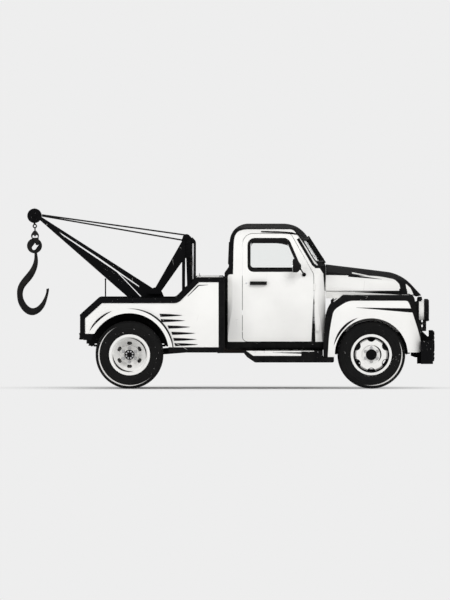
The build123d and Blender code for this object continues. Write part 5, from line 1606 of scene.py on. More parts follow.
    def _column(self, paints: Paints) -> None:
        """Builds the horn button and ring, the column's collar and its stalk."""
        tilt = math.radians(38)
        up = Vector((-math.cos(tilt), 0, math.sin(tilt)))
        hub = Vector((0.8, 0.365, 1.27))
        button = Piece("horn_button")
        button.lathe(((0.018, 0), (0.018, 0.036), (0.024, 0.035), (0.03, 0.028), (0.034, 0.016), (0.035, 0)), hub,
                     axis=up, sides=40)
        button.done(paints.bakelite, "wheel_bakelite", body="steering")
        ring = Piece("horn_ring")
        ring.lathe(((0.0175, 0.035), (0.0235, 0.036), (0.0245, 0.0385), (0.02, 0.04), (0.0175, 0.0395)), hub, axis=up,
                   sides=40)
        ring.done(paints.plating, "wheel_bakelite", body="steering")
        collar = Piece("column_collar")
        down = -up
        collar.lathe(((0.034, 0.026), (0.034, 0.034), (0.06, 0.034), (0.066, 0.03), (0.066, 0.0235), (0.034, 0.0235)),
                     hub, axis=down, sides=32)
        start = hub + down * 0.095
        collar.rod(start, start + Vector((0, 0.15, 0.02)), 0.0045, 0.0035, sides=12)
        collar.ball(start + Vector((0, 0.155, 0.021)), 0.01, sides=16)
        collar.done(paints.bakelite, "dash_paint", 40)


@dataclass
class Nose(Assembly):
    """Bonnet, wings, lamps, grille and front bumper with their fittings."""

    lamp: Point = (2.49, 0.69, 0.95)
    coats = (("bonnet", "bonnet"), ("wing", pair("front_wing")), ("lamp", pair("headlamp")),
             ("lens", pair("headlamp_lens")), ("black", "grille front_bumper"))

    def build(self, paints: Paints) -> None:
        """Builds the fittings of the truck's nose."""
        self._bonnet(paints)
        self._lamps(paints)
        self._bumper(paints)

    def _bonnet(self, paints: Paints) -> None:
        """Builds the bonnet's latch lever, hinge pins, rest tape, which also fills the gap to the cab as painted shade,
        and wing seals.
        """
        latch = Piece("bonnet_latch")
        latch.box((2.366, -0.034, 1.128), (2.388, 0.034, 1.14), 0.003)
        latch.rod((2.372, 0, 1.15), (2.372, 0, 1.126), 0.009, 0.008, sides=16)
        latch.done(paints.black, "black_paint", body="hood")
        hinges = Piece("bonnet_hinge_pins")
        for y in (-0.42, 0.32):
            hinges.rod((1.233, y, 1.49), (1.233, y + 0.1, 1.49), 0.006, sides=12)
        hinges.done(paints.black, "black_paint", body="hood")
        # Black rest tape in the gap between the cab and the bonnet, standing as painted shade of that gap.
        tape = Piece("bonnet_rest_tape")
        tape.plate(((-0.44, 1.19), (-0.44, 1.474), (-0.2, 1.488), (0.2, 1.488), (0.44, 1.474), (0.44, 1.19)), 1.2245,
                   1.23, "x", 0.001)
        tape.done(paints.seal, "trim_black", 40)
        for side in Side:
            strip = Piece(f"wing_seal_{side.word}")
            strip.plate(((2.06, 1.12), (2.06, 1.18), (2.075, 1.2), (2.2, 1.2), (2.224, 1.19), (2.224, 1.11)),
                        0.4935, 0.4985, "y", 0.001)
            strip.done(paints.seal, "trim_black", 40, side=side)

    def _lamps(self, paints: Paints) -> None:
        """Builds the lamps' reflectors and rims."""
        x, _, z = self.lamp
        for side in Side:
            y = self.lamp[1]
            bowl = Piece(f"reflector_{side.word}")
            bowl.lathe(((-0.0325, 0.0), (-0.0325, 0.03), (-0.0315, 0.06), (-0.029, 0.1), (-0.0275, 0.1035),
                        (-0.0335, 0.1035), (-0.0335, 0.0)), (x, y, z), axis=(1, 0, 0), sides=48)
            bowl.done(paints.plating, "lamp_glass", 50, side=side)
            rim = Piece(f"lamp_rim_{side.word}")
            rim.lathe(((-0.018, 0.127), (-0.006, 0.118), (-0.0015, 0.112), (-0.0025, 0.1085), (-0.01, 0.109),
                       (-0.02, 0.118)), (x, y, z), axis=(1, 0, 0), sides=64)
            rim.rod((x - 0.008, y, z - 0.12), (x + 0.001, y, z - 0.12), 0.006, sides=12)
            rim.done(paints.black, "black_paint", side=side)

    def _bumper(self, paints: Paints) -> None:
        """Builds the push pads, bolts, tow shackles and the blank number plate."""
        pads = Piece("push_pads")
        for y in (-0.364, 0.364):
            pads.plate(((y - 0.03, 0.33), (y - 0.03, 0.69), (y + 0.03, 0.69), (y + 0.03, 0.33)), 2.536, 2.552, "x",
                       0.004)
            for n in range(7):
                pads.box((2.551, y - 0.024, 0.352 + 0.05 * n), (2.556, y + 0.024, 0.374 + 0.05 * n), 0.002)
        pads.done(paints.seal, "trim_black", 40)
        bolts = Piece("bumper_bolts")
        for y in (0.6, 0.78):
            for z in (0.38, 0.5):
                bolts.bolt((2.538 if y < 0.7 else 2.5375, y, z), (1, 0, 0), 0.013, 0.008)
        bolts.mirror()
        bolts.done(paints.black, "black_paint", 30)
        rings = Piece("tow_shackles")
        for y in (-0.25, 0.25):
            rings.box((2.532, y - 0.03, 0.52), (2.541, y + 0.03, 0.57), 0.003)
            path = ring_points((2.551, y, 0.508), 0.03, "yz", 20)
            rings.tube(path, 0.0065, 10, closed=True, up=(1, 0, 0))
            rings.rod((2.538, y, 0.541), (2.556, y, 0.541), 0.01, sides=14)
        rings.done(paints.forged, "forged_steel", 40)
        plate = Piece("front_number_plate")
        plate.box((2.5375, -0.165, 0.378), (2.5415, 0.165, 0.488), 0.0015)
        for y in (-0.14, 0.14):
            plate.rod((2.541, y, 0.433), (2.5445, y, 0.433), 0.006, sides=12)
        plate.done(paints.cream, "cream_paint")


@dataclass
class EngineBay(Assembly):
    """What stands round the engine block: rocker cover, air cleaner, fan, hoses, battery and generator.

    Args:
        cover: rear and front end of the rocker cover.
        ports: how far the manifolds stand out from the middle.
        fan_z: height of the fan's shaft.
        crank_z: height of the crankshaft.
        belt_x: where the fan belt runs.
        belt: its path as (y, z) points round the fan, the generator and the crankshaft.
    """

    cover: Flat = (1.43, 2.04)
    ports: float = 0.262
    fan_z: float = 0.9
    crank_z: float = 0.64
    belt_x: float = 2.104
    belt: tuple[Flat, ...] = ((0.05, 0.905), (0.036, 0.936), (0.0, 0.951), (-0.036, 0.94), (-0.29, 0.93),
                              (-0.306, 0.9), (-0.29, 0.868), (-0.06, 0.585), (0.0, 0.569), (0.055, 0.59),
                              (0.071, 0.64))
    coats = (("cast", "engine"), ("chassis", "radiator"))

    def build(self, paints: Paints) -> None:
        """Builds the fittings under the bonnet."""
        cover = Piece("rocker_cover")
        cover.plate(((-0.078, 1.118), (-0.08, 1.15), (-0.06, 1.172), (0.06, 1.172), (0.08, 1.15), (0.078, 1.118)),
                    *self.cover, "x", 0.006)
        for x in (1.52, 1.74, 1.95):
            cover.rod((x, 0, 1.17), (x, 0, 1.179), 0.012, sides=12)
            cover.bolt((x, 0, 1.178), (0, 0, 1), 0.008, 0.006)
        cover.done(paints.black, "cast_metal")
        cleaner = Piece("air_cleaner")
        cleaner.lathe(((0, 0), (0, 0.088), (0.01, 0.096), (0.07, 0.096), (0.078, 0.09), (0.086, 0.06), (0.088, 0)),
                      (1.66, 0.185, 1.15), axis=(0, 0, 1), sides=40)
        cleaner.rod((1.66, 0.185, 1.09), (1.66, 0.185, 1.152), 0.04, sides=24)
        cleaner.rod((1.66, 0.185, 1.236), (1.66, 0.185, 1.246), 0.01, sides=8)
        cleaner.done(paints.black, "cast_metal")
        side = Piece("manifolds")
        for n in range(4):
            x = 1.5 + 0.16 * n
            side.tube([(x, 0.212, 1.04), (x, 0.245, 1.036), (x + 0.01, self.ports, 1.0)], 0.019, 12, up=(1, 0, 0))
        side.rod((1.46, self.ports, 0.992), (2.02, self.ports, 0.992), 0.024, sides=16, bevel=0.004)
        side.tube([(1.5, self.ports, 0.99), (1.47, 0.268, 0.9), (1.46, 0.27, 0.76), (1.44, 0.268, 0.64)], 0.021, 12,
                  up=(0, 1, 0))
        side.done(paints.exhaust, "exhaust_steel", 40)
        works = Piece("generator_and_distributor")
        works.rod((1.86, -0.262, 0.9), (2.06, -0.262, 0.9), 0.054, sides=28, bevel=0.006)
        works.rod((2.06, -0.262, 0.9), (2.09, -0.262, 0.9), 0.04, 0.044, sides=28)
        works.box((1.88, -0.235, 0.83), (1.96, -0.205, 0.86), 0.004)
        works.rod((1.62, -0.212, 1.0), (1.62, -0.255, 1.12), 0.032, 0.028, sides=20)
        works.rod((1.62, -0.255, 1.118), (1.62, -0.272, 1.165), 0.04, 0.034, sides=20, bevel=0.004)
        works.rod((1.56, -0.212, 0.76), (1.56, -0.262, 0.76), 0.042, sides=20, bevel=0.004)
        works.done(paints.cast, "cast_metal", 40)
        fan = Piece("fan_and_pulleys")
        fan.rod((2.088, 0, self.fan_z), (2.128, 0, self.fan_z), 0.05, sides=28)
        fan.rod((2.088, 0, self.crank_z), (2.12, 0, self.crank_z), 0.07, sides=32, bevel=0.004)
        for n in range(4):
            turn = Matrix.Rotation(math.radians(45 + 90 * n), 4, "X")
            blade = turn @ Vector((0, 0, 0.11))
            middle = Vector((2.132, 0, self.fan_z)) + blade
            fan.box(middle - Vector((0.002, 0.032, 0.08)), middle + Vector((0.002, 0.032, 0.08)), 0.0015,
                    turn @ Matrix.Rotation(0.42, 4, "Z"))
        fan.done(paints.black, "cast_metal")
        belt = Piece("fan_belt")
        path = [(self.belt_x, y, z) for y, z in self.belt]
        belt.sweep(path, ((-0.004, -0.006), (0.004, -0.006), (0.006, 0.006), (-0.006, 0.006)), closed=True,
                   up=(1, 0, 0))
        belt.done(paints.seal, "cast_metal", 40)
        hoses = Piece("radiator_hoses")
        hoses.tube([(2.04, 0.0, 1.02), (2.09, 0.03, 1.03), (2.13, 0.06, 1.052), (2.17, 0.07, 1.056)], 0.024, 16,
                   up=(0, 1, 0))
        hoses.tube([(2.06, -0.12, 0.7), (2.1, -0.14, 0.702), (2.135, -0.165, 0.714), (2.17, -0.17, 0.716)], 0.024,
                   16, up=(0, 1, 0))
        for place, way in (((2.062, 0.012, 1.024), (0.05, 0.03, 0.01)), ((2.15, 0.065, 1.054), (0.04, 0.01, 0.004))):
            hoses.rod(place, tuple(a + b * 0.24 for a, b in zip(place, way)), 0.0265, sides=20)
        hoses.done(paints.seal, "trim_black", 40)
        cap = Piece("radiator_cap")
        cap.rod((2.205, 0, 1.082), (2.205, 0, 1.094), 0.026, sides=24)
        cap.rod((2.205, 0, 1.092), (2.205, 0, 1.103), 0.032, 0.029, sides=12, bevel=0.002)
        for n in range(9):
            cap.box((2.2505, -0.28 + 0.0625 * n, 0.735), (2.2535, -0.272 + 0.0625 * n, 1.018), 0.0008)
        cap.done(paints.steel, "chassis_black", 40)
        battery = Piece("battery")
        battery.box((1.29, -0.405, 0.9), (1.45, -0.245, 1.08), 0.006)
        for x in (1.32, 1.42):
            battery.rod((x, -0.285, 1.078), (x, -0.285, 1.098), 0.009, sides=14)
        for n in range(3):
            battery.rod((1.315 + 0.053 * n, -0.345, 1.079), (1.315 + 0.053 * n, -0.345, 1.089), 0.014, sides=16)
        battery.done(paints.bakelite, "trim_black", 40)
        tray = Piece("battery_tray")
        tray.box((1.226, -0.42, 0.884), (1.465, -0.235, 0.9), 0.003)
        tray.box((1.226, -0.42, 0.78), (1.236, -0.235, 0.886), 0.003)
        tray.done(paints.chassis, "chassis_black", 40)


@dataclass
class RunningBoards(Assembly):
    """Ribbed rubber treads and edge screws of the running boards.

    Args:
        top: height of the board.
        ends: rear and front end of the tread.
        edges: inner and outer edge of the tread.
        ribs: number of its ribs.
        pitch: distance between them.
    """

    top: float = 0.462
    ends: Flat = (0.335, 1.165)
    edges: Flat = (0.725, 0.905)
    ribs: int = 10
    pitch: float = 0.0175
    coats = (("board", pair("running_board")),)

    def build(self, paints: Paints) -> None:
        """Builds the treads and their edge screws."""
        for side in Side:
            tread = Piece(f"board_tread_{side.word}")
            (rear, front), (inner, outer) = self.ends, self.edges
            tread.box((rear, inner, self.top - 0.002), (front, outer, self.top + 0.002), 0.001)
            for n in range(self.ribs):
                y = inner + 0.007 + self.pitch * n
                tread.box((rear + 0.01, y, self.top + 0.001), (front - 0.01, y + 0.008, self.top + 0.005), 0.001)
            tread.done(paints.seal, "trim_black", 40, side=side)
            screws = Piece(f"board_screws_{side.word}")
            for n in range(8):
                screws.rod((0.37 + 0.109 * n, 0.9245, 0.448), (0.37 + 0.109 * n, 0.9275, 0.448), 0.006, 0.004, sides=12)
            screws.done(paints.steel, "black_paint", 40, side=side)


@dataclass
class Bed(Assembly):
    """Recovery bed: tread plate, lashing rings, black side mouldings laid as painted shade strokes ahead of the rear
    arches, bolts, and front edge beads that fill the gap to the cab as painted shade.
    """

    deck: float = 1.045
    load_plate: tuple[float, float] = (-1.43, -1.015)
    panel_y: float = 1.0
    mouldings: tuple[Point, ...] = ((-0.8, -0.518, 0.897), (-0.786, -0.488, 0.832), (-0.7, -0.422, 0.754),
                                    (-0.655, -0.361, 0.677), (-0.632, -0.343, 0.603), (-0.618, -0.325, 0.54))
    coats = (("bed", pair("bed_side")), ("black", pair("bed_rail") + " bed_deck rear_bumper boom_rest"),
             ("chassis", "bed_bearers"))

    def build(self, paints: Paints) -> None:
        """Builds the fittings of the bed."""
        self._tread(paints)
        rings = Piece("lashing_rings")
        for x, y in ((-1.475, 0.84), (-0.95, 0.84), (-0.48, 0.84)):
            rings.box((x - 0.022, y - 0.045, self.deck - 0.001), (x + 0.022, y + 0.045, self.deck + 0.005), 0.0015)
            rings.tube(ring_points((x + 0.026, y, self.deck + 0.009), 0.028, "xy", 24), 0.0055, 10, closed=True)
            rings.rod((x, y - 0.02, self.deck + 0.007), (x, y + 0.02, self.deck + 0.007), 0.0085, sides=14)
            for dy in (-0.034, 0.034):
                rings.bolt((x, y + dy, self.deck + 0.005), (0, 0, 1), 0.006, 0.004)
        rings.mirror().done(paints.forged, "forged_steel", 40)
        for side in Side:
            # Black raised mouldings ahead of the rear arch; their black stands as painted shade strokes of the arch's
            # curve.
            lines = Piece(f"bed_mouldings_{side.word}")
            for rear, front, z in self.mouldings:
                tip = front - 0.05
                lines.plate(((rear + 0.012, z - 0.019), (rear, z + 0.019), (rear + 0.12, z + 0.015), (tip, z + 0.006),
                             (front, z + 0.001), (tip, z - 0.006), (rear + 0.12, z - 0.015)),
                            self.panel_y - 0.001, self.panel_y + 0.0035, "y", 0.001)
            lines.done(paints.black, "black_paint", 40, side=side)
            # Black bead in the gap between the bed and the cab, standing as painted shade of that gap.
            bead = Piece(f"bed_front_bead_{side.word}")
            bead.box((-0.0175, 0.974, 0.5), (-0.003, 0.998, 1.352), 0.003)
            bead.done(paints.seal, "trim_black", 40, side=side)
            bolts = Piece(f"bed_rail_bolts_{side.word}")
            for n in range(7):
                bolts.rod((-1.44 + 0.135 * n, 1.0075, 1.076), (-1.44 + 0.135 * n, 1.0115, 1.076), 0.0075, 0.005,
                          sides=14)
            for x, z in ((-1.738, 0.72), (-1.738, 0.84), (-1.69, 0.918), (-1.6, 0.999), (-0.25, 1.332), (-0.12, 1.332)):
                bolts.rod((x, 1.0075, z), (x, 1.0115, z), 0.0075, 0.005, sides=14)
            bolts.done(paints.black, "black_paint", 40, side=side)
        plate = Piece("draw_plate_bolts")
        for y in (-0.072, 0.072):
            for z in (0.603, 0.66):
                plate.bolt((-1.7745, y, z), (-1, 0, 0), 0.008, 0.005)
        plate.done(paints.forged, "forged_steel")

    def _tread(self, paints: Paints) -> None:
        """Builds the raised lozenges of the deck's tread plate."""
        lozenges = Piece("deck_tread")
        keep_out = ((-1.485, -1.43, 0.9, 1.1), (-1.016, -0.34, -0.01, 0.262), (-1.5, -1.436, -0.01, 0.125))
        turns = (Matrix.Rotation(math.radians(45), 4, "Z"), Matrix.Rotation(math.radians(-45), 4, "Z"))
        rear, front = self.load_plate
        gap = 0.014
        for row in range(27):
            for column in range(23):
                x, y = -1.48 + 0.042 * row, 0.02 + 0.042 * column
                on_plate = rear < x < front
                if min(abs(x - rear), abs(x - front)) < gap or on_plate and y > 0.886:
                    continue
                if not on_plate and any(a - gap < x < b + gap and c < y < d + gap for a, b, c, d in keep_out):
                    continue
                base = self.deck + (0.003 if on_plate else 0.0)
                half = Vector((0.014, 0.004, 0.0))
                middle = Vector((x, y, base))
                lozenges.box(middle - half - Vector((0, 0, 0.0005)), middle + half + Vector((0, 0, 0.0016)),
                             turn=turns[(row + column) % 2])
        lozenges.mirror().done(paints.black, "deck_plate", 30)


@dataclass
class Locker(Assembly):
    """Tool locker behind the cab: hasps and catches, lifting grip, lid hinges and pressed seams."""

    rear: float = -0.34
    front: float = -0.024
    lid_top: float = 1.363
    coats = (("cream", "locker locker_lid"),)

    def build(self, paints: Paints) -> None:
        """Builds the fittings of the locker."""
        catches, keeps = Piece("locker_hasps"), Piece("locker_catches")
        for y in (-0.62, 0.62):
            catches.box((self.rear - 0.005, y - 0.022, 1.3), (self.rear - 0.001, y + 0.022, 1.361), 0.0015)
            catches.box((self.rear - 0.003, y - 0.022, 1.3628), (self.rear + 0.05, y + 0.022, 1.366), 0.0015)
            for x in (0.018, 0.036):
                catches.rod((self.rear + x, y, 1.365), (self.rear + x, y, 1.3685), 0.0055, 0.004, sides=12)
            keeps.box((self.rear - 0.006, y - 0.03, 1.215), (self.rear + 0.001, y + 0.03, 1.29), 0.002)
            keeps.tube(ring_points((self.rear - 0.01, y, 1.268), 0.016, "yz", 20), 0.0035, 8, closed=True, up=(1, 0, 0))
            for dz in (0.012, 0.062):
                keeps.rod((self.rear - 0.005, y + 0.018, 1.215 + dz), (self.rear - 0.009, y + 0.018, 1.215 + dz),
                          0.0045, sides=10)
        catches.tube([(self.rear + 0.03, -0.1, 1.362), (self.rear + 0.03, -0.1, 1.388),
                      (self.rear + 0.03, -0.085, 1.396),
                      (self.rear + 0.03, 0.085, 1.396), (self.rear + 0.03, 0.1, 1.388), (self.rear + 0.03, 0.1, 1.362)],
                     0.0065, 10, up=(1, 0, 0))
        catches.done(paints.steel, "forged_steel", body="lid")
        keeps.done(paints.steel, "forged_steel")
        hinge = Piece("locker_hinges")
        for y in (-0.7, 0.0, 0.7):
            hinge.box((self.front - 0.05, y - 0.035, self.lid_top - 0.001),
                      (self.front - 0.004, y + 0.035, self.lid_top + 0.0025), 0.001)
            hinge.rod((self.front - 0.003, y - 0.034, self.lid_top + 0.001),
                      (self.front - 0.003, y + 0.034, self.lid_top + 0.001), 0.005, sides=14)
            for dy in (-0.022, 0.022):
                hinge.rod((self.front - 0.032, y + dy, self.lid_top + 0.002),
                          (self.front - 0.032, y + dy, self.lid_top + 0.0045), 0.005, 0.0035, sides=12)
        hinge.done(paints.black, "cream_paint", body="lid")
        ribs = Piece("locker_seams")
        for y in (-0.48, 0.48):
            ribs.box((self.rear - 0.004, y - 0.012, 1.058), (self.rear + 0.001, y + 0.012, 1.338), 0.0018)
        for z in (1.062, 1.336):
            ribs.box((self.rear - 0.0035, -0.955, z - 0.006), (self.rear + 0.001, 0.955, z + 0.006), 0.0015)
        ribs.done(paints.cream, "cream_paint")


@dataclass
class TailLamps(Assembly):
    """Rear lamps with rims, reflectors, and the blank number plate with its bracket."""

    face: float = -1.767
    lamp: Flat = (0.82, 0.77)
    coats = (("red", "tail_lamps"),)

    def build(self, paints: Paints) -> None:
        """Builds the fittings of the tail panel."""
        y, z = self.lamp
        rims = Piece("tail_lamp_rims")
        rims.lathe(((-0.0235, 0.0515), (0.001, 0.0515), (0.0035, 0.049), (0.005, 0.051), (0.003, 0.058),
                    (-0.016, 0.06), (-0.0235, 0.06)), (self.face, y, z), axis=(-1, 0, 0), sides=48)
        rims.mirror().done(paints.plating, "trim_black", 40)
        bulbs = Piece("tail_reflectors")
        bulbs.lathe(((-0.002, 0), (-0.002, 0.03), (0.003, 0.0285), (0.0045, 0)), (-1.7455, 0.64, 0.77), axis=(-1, 0, 0),
                    sides=32)
        bulbs.mirror().done(paints.red, "red_lens", 40)
        plate = Piece("rear_number_plate")
        plate.box((-1.753, -0.165, 0.742), (-1.749, 0.165, 0.852), 0.0015)
        plate.done(paints.cream, "cream_paint")
        bracket = Piece("number_plate_bracket")
        bracket.box((-1.7495, -0.175, 0.732), (-1.7445, 0.175, 0.862), 0.002)
        bracket.rod((-1.7445, 0, 0.885), (-1.77, 0, 0.885), 0.016, sides=20)
        bracket.rod((-1.76, -0.03, 0.88), (-1.76, 0.03, 0.88), 0.012, sides=16, bevel=0.002)
        for dy in (-0.14, 0.14):
            bracket.rod((-1.7525, dy, 0.797), (-1.756, dy, 0.797), 0.006, sides=12)
        bracket.done(paints.black, "black_paint")


@dataclass
class Rig(Assembly):
    """Mast, winch, boom, hook and their ropes and pins.

    Args:
        pivot: the boom's pivot.
        head: the centre of the boom's head.
        sheave: the mast's sheave.
        winch: the winch's shaft.
        rope: the rope's radius.
        pitch: radius at which it lies on the sheave.
        lay: length of one turn of its strands.
        falls: both ends of each fall, from the boom to the mast.
        slack: share of its length that a fall keeps when the boom is up; not used.
        shrink_angle: direction in degrees along which the falls shorten; not used.
    """

    pivot: Flat = (-0.854, 1.16)
    head: Flat = (-2.324, 2.101)
    sheave: Flat = (-0.47, 1.83)
    winch: Flat = (-0.414, 1.6)
    rope: float = 0.01
    pitch: float = 0.034
    lay: float = 0.085
    falls: tuple[tuple[Flat, Flat], ...] = (((-2.232, 2.111), (-0.465, 1.8637)), ((-2.232, 2.099), (-0.475, 1.7963)))
    slack: float = 0.815
    shrink_angle: float = -5.8
    coats = (("black", "mast boom winch_drum"), ("forged", "hook chain"), ("rope", "topping_line"))

    def build(self, paints: Paints) -> None:
        """Builds the fittings of the rig."""
        self._ropes(paints)
        self._winch(paints)
        self._mast(paints)
        self._boom(paints)
        self._hook(paints)

    def _strands(self, piece: Piece, start: Vector, end: Vector, count: int = 6) -> None:
        """Adds a straight wire rope laid up from round strands.

        Args:
            piece: the piece that it goes into.
            start: first end.
            end: second end.
            count: number of strands.
        """
        along = end - start
        turns = along.length / self.lay
        steps = round(turns * 9)
        frame_turn = frame_along(along)
        for k in range(count):
            path = []
            for n in range(steps + 1):
                angle = 2 * math.pi * (turns * n / steps + k / count)
                spot = Vector((math.cos(angle), math.sin(angle), 0)) * self.rope * 0.62
                path.append(start + along * n / steps + frame_turn @ spot)
            piece.tube(path, self.rope * 0.37, 6, up=(0, 1, 0))

    def _ropes(self, paints: Paints) -> None:
        """Builds the two falls of the topping rope and the rope down to the winch."""
        falls = Piece("topping_rope")
        for (ax, az), (bx, bz) in self.falls:
            self._strands(falls, Vector((ax, 0, az)), Vector((bx, 0, bz)))
        rope = falls.done(paints.rope, "wire_rope", 60, body="topping")
        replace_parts(rope, "topping_line")
        (ax, az), _ = self.falls[0]
        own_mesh(rope)
        x, z = self.sheave
        wrap = Piece("sheave_rope")
        wrap.tube(ring_points((x, 0, z), self.pitch, "xz", 14, 98, 0), self.rope * 0.97, 10, up=(0, 1, 0))
        wrap.tube(ring_points((x, 0, z), self.pitch, "xz", 8, 262, 330), self.rope * 0.97, 10, up=(0, 1, 0))
        wrap.done(paints.rope, "wire_rope", 50)
        lead = Piece("winch_rope")
        self._strands(lead, Vector((x + self.pitch, 0, z)), Vector((self.winch[0] - 0.041, 0.006, self.winch[1])))
        lead.done(paints.rope, "wire_rope", 60)

    def _winch(self, paints: Paints) -> None:
        """Builds the rope on the drum, the ratchet and the crank's wooden grip."""
        x, z = self.winch
        coil = Piece("drum_rope")
        for n in range(11):
            y = -0.107 + 0.0212 * n
            coil.tube(ring_points((x, y, z), 0.0395, "xz", 28), self.rope * 0.98, 8, closed=True, up=(0, 1, 0))
        coil.done(paints.rope, "wire_rope", 50, body="winch")
        ratchet = Piece("ratchet_wheel")
        rows = []
        for n in range(20):
            angle = 2 * math.pi * n / 20
            rows += [(x + 0.054 * math.cos(angle), z + 0.054 * math.sin(angle)),
                     (x + 0.045 * math.cos(angle + 0.05), z + 0.045 * math.sin(angle + 0.05))]
        ratchet.plate(rows, 0.138, 0.152, "y")
        ratchet.rod((x, 0.132, z), (x, 0.16, z), 0.024, sides=24)
        ratchet.done(paints.forged, "black_paint", 30, body="winch")
        grip = Piece("crank_grip")
        grip.lathe(((0, 0.0115), (0, 0.015), (0.006, 0.0165), (0.04, 0.018), (0.076, 0.016), (0.082, 0.014),
                    (0.084, 0.0115)), (x, -0.279, z - 0.083), axis=(0, -1, 0), sides=28)
        grip.done(paints.wood, "black_paint", 40, body="winch")
        nut = Piece("crank_nuts")
        nut.rod((x, -0.2745, z), (x, -0.286, z), 0.0165, sides=6)
        nut.rod((x, -0.2855, z), (x, -0.292, z), 0.0085, sides=12)
        nut.rod((x, -0.3645, z - 0.083), (x, -0.369, z - 0.083), 0.013, sides=16)
        nut.done(paints.forged, "black_paint", body="winch")
        pawl = Piece("ratchet_pawl")
        pawl.plate(((x - 0.068, z + 0.052), (x - 0.05, z + 0.02), (x - 0.062, z + 0.022), (x - 0.084, z + 0.05),
                    (x - 0.084, z + 0.064), (x - 0.07, z + 0.068)), 0.139, 0.151, "y", 0.001)
        pawl.rod((x - 0.076, 0.136, z + 0.058), (x - 0.076, 0.194, z + 0.058), 0.007, sides=14)
        pawl.done(paints.forged, "black_paint")

    def _mast(self, paints: Paints) -> None:
        """Builds the mast's foot bolts, pin nuts, sheave cheeks and wear strips."""
        bolts = Piece("mast_bolts")
        for x in (-0.537, -0.44, -0.356):
            bolts.bolt((x, 0.246, 1.059), (0, 0, 1), 0.009, 0.009)
        for x, y in ((-0.966, 0.18), (-0.734, 0.18)):
            bolts.bolt((x, y + 0.05, 1.045), (0, 0, 1), 0.009, 0.009)
        for x, z in ((-0.452, 1.64), (-0.452, 1.7), (-0.452, 1.76), (-0.505, 1.76), (-0.505, 1.69)):
            bolts.bolt((x, 0.213, z), (0, 1, 0), 0.009, 0.007)
        bolts.rod((self.pivot[0], 0.142, self.pivot[1]), (self.pivot[0], 0.162, self.pivot[1]), 0.036, sides=6,
                  bevel=0.002)
        bolts.rod((self.pivot[0], 0.16, self.pivot[1]), (self.pivot[0], 0.17, self.pivot[1]), 0.018, 0.014, sides=20)
        bolts.rod((self.sheave[0], 0.213, self.sheave[1]), (self.sheave[0], 0.226, self.sheave[1]), 0.022, sides=6)
        bolts.rod((self.sheave[0], 0.225, self.sheave[1]), (self.sheave[0], 0.231, self.sheave[1]), 0.011, sides=14)
        bolts.mirror().done(paints.black, "black_paint")
        cheeks = Piece("sheave_cheeks")
        cheeks.lathe(((0.0235, 0.014), (0.0235, 0.0465), (0.0255, 0.048), (0.0285, 0.0465), (0.0285, 0.024),
                      (0.04, 0.022), (0.04, 0.014)), (self.sheave[0], 0, self.sheave[1]), sides=40)
        cheeks.mirror().done(paints.forged, "black_paint")
        strips = Piece("mast_wear_strips")
        strips.box((-0.399, 0.2345, 1.33), (-0.381, 0.2375, 1.765), 0.0008)
        for z in (1.345, 1.75):
            strips.rod((-0.39, 0.237, z), (-0.39, 0.2395, z), 0.005, 0.003, sides=12)
        strips.mirror().done(paints.steel, "black_paint")

    def _leg_y(self, x: float) -> float:
        """Returns where a boom leg's outer face stands."""
        return 0.05 + (x + 2.354) * 0.062 / 1.44

    def _boom(self, paints: Paints) -> None:
        """Builds the boom's tie nuts, head rims and grease nipples."""
        nuts = Piece("boom_nuts")
        for x, z in ((-1.9, 1.777), (-1.5, 1.465), (-1.12, 1.13), (-1.3, 1.455)):
            y = self._leg_y(x)
            nuts.rod((x, y - 0.002, z), (x, y + 0.004, z), 0.023, sides=20)
            nuts.rod((x, y + 0.003, z), (x, y + 0.014, z), 0.017, sides=6)
            nuts.rod((x, y + 0.013, z), (x, y + 0.018, z), 0.009, sides=12)
        x, z = self.head
        nuts.rod((x, 0.049, z), (x, 0.058, z), 0.028, sides=24)
        nuts.rod((x, 0.056, z), (x, 0.07, z), 0.021, sides=6, bevel=0.001)
        nuts.rod((x, 0.069, z), (x, 0.075, z), 0.011, sides=14)
        for n in range(6):
            angle = math.radians(60 * n + 20)
            spot = (x + 0.06 * math.cos(angle), 0.0495, z + 0.06 * math.sin(angle))
            nuts.bolt(spot, (0, 1, 0), 0.0085, 0.007)
        nuts.mirror().done(paints.black, "black_paint", body="boom_arm")
        rim = Piece("boom_head_rims")
        rim.lathe(((0.0475, 0.08), (0.0475, 0.0875), (0.0515, 0.0885), (0.0535, 0.085), (0.0515, 0.079)),
                  (x, 0, z), sides=56)
        rim.mirror().done(paints.black, "black_paint", body="boom_arm")
        nipple = Piece("grease_nipples")
        nipple.rod((x, 0, z + 0.085), (x, 0, z + 0.092), 0.007, sides=6)
        nipple.rod((x, 0, z + 0.091), (x, 0, z + 0.1), 0.0045, 0.003, sides=12)
        nipple.rod((self.pivot[0], 0, self.pivot[1] + 0.042), (self.pivot[0], 0, self.pivot[1] + 0.051), 0.007, sides=6)
        nipple.rod((self.pivot[0], 0, self.pivot[1] + 0.05), (self.pivot[0], 0, self.pivot[1] + 0.058), 0.0045, 0.003,
                   sides=12)
        nipple.done(paints.steel, "black_paint", body="boom_arm")

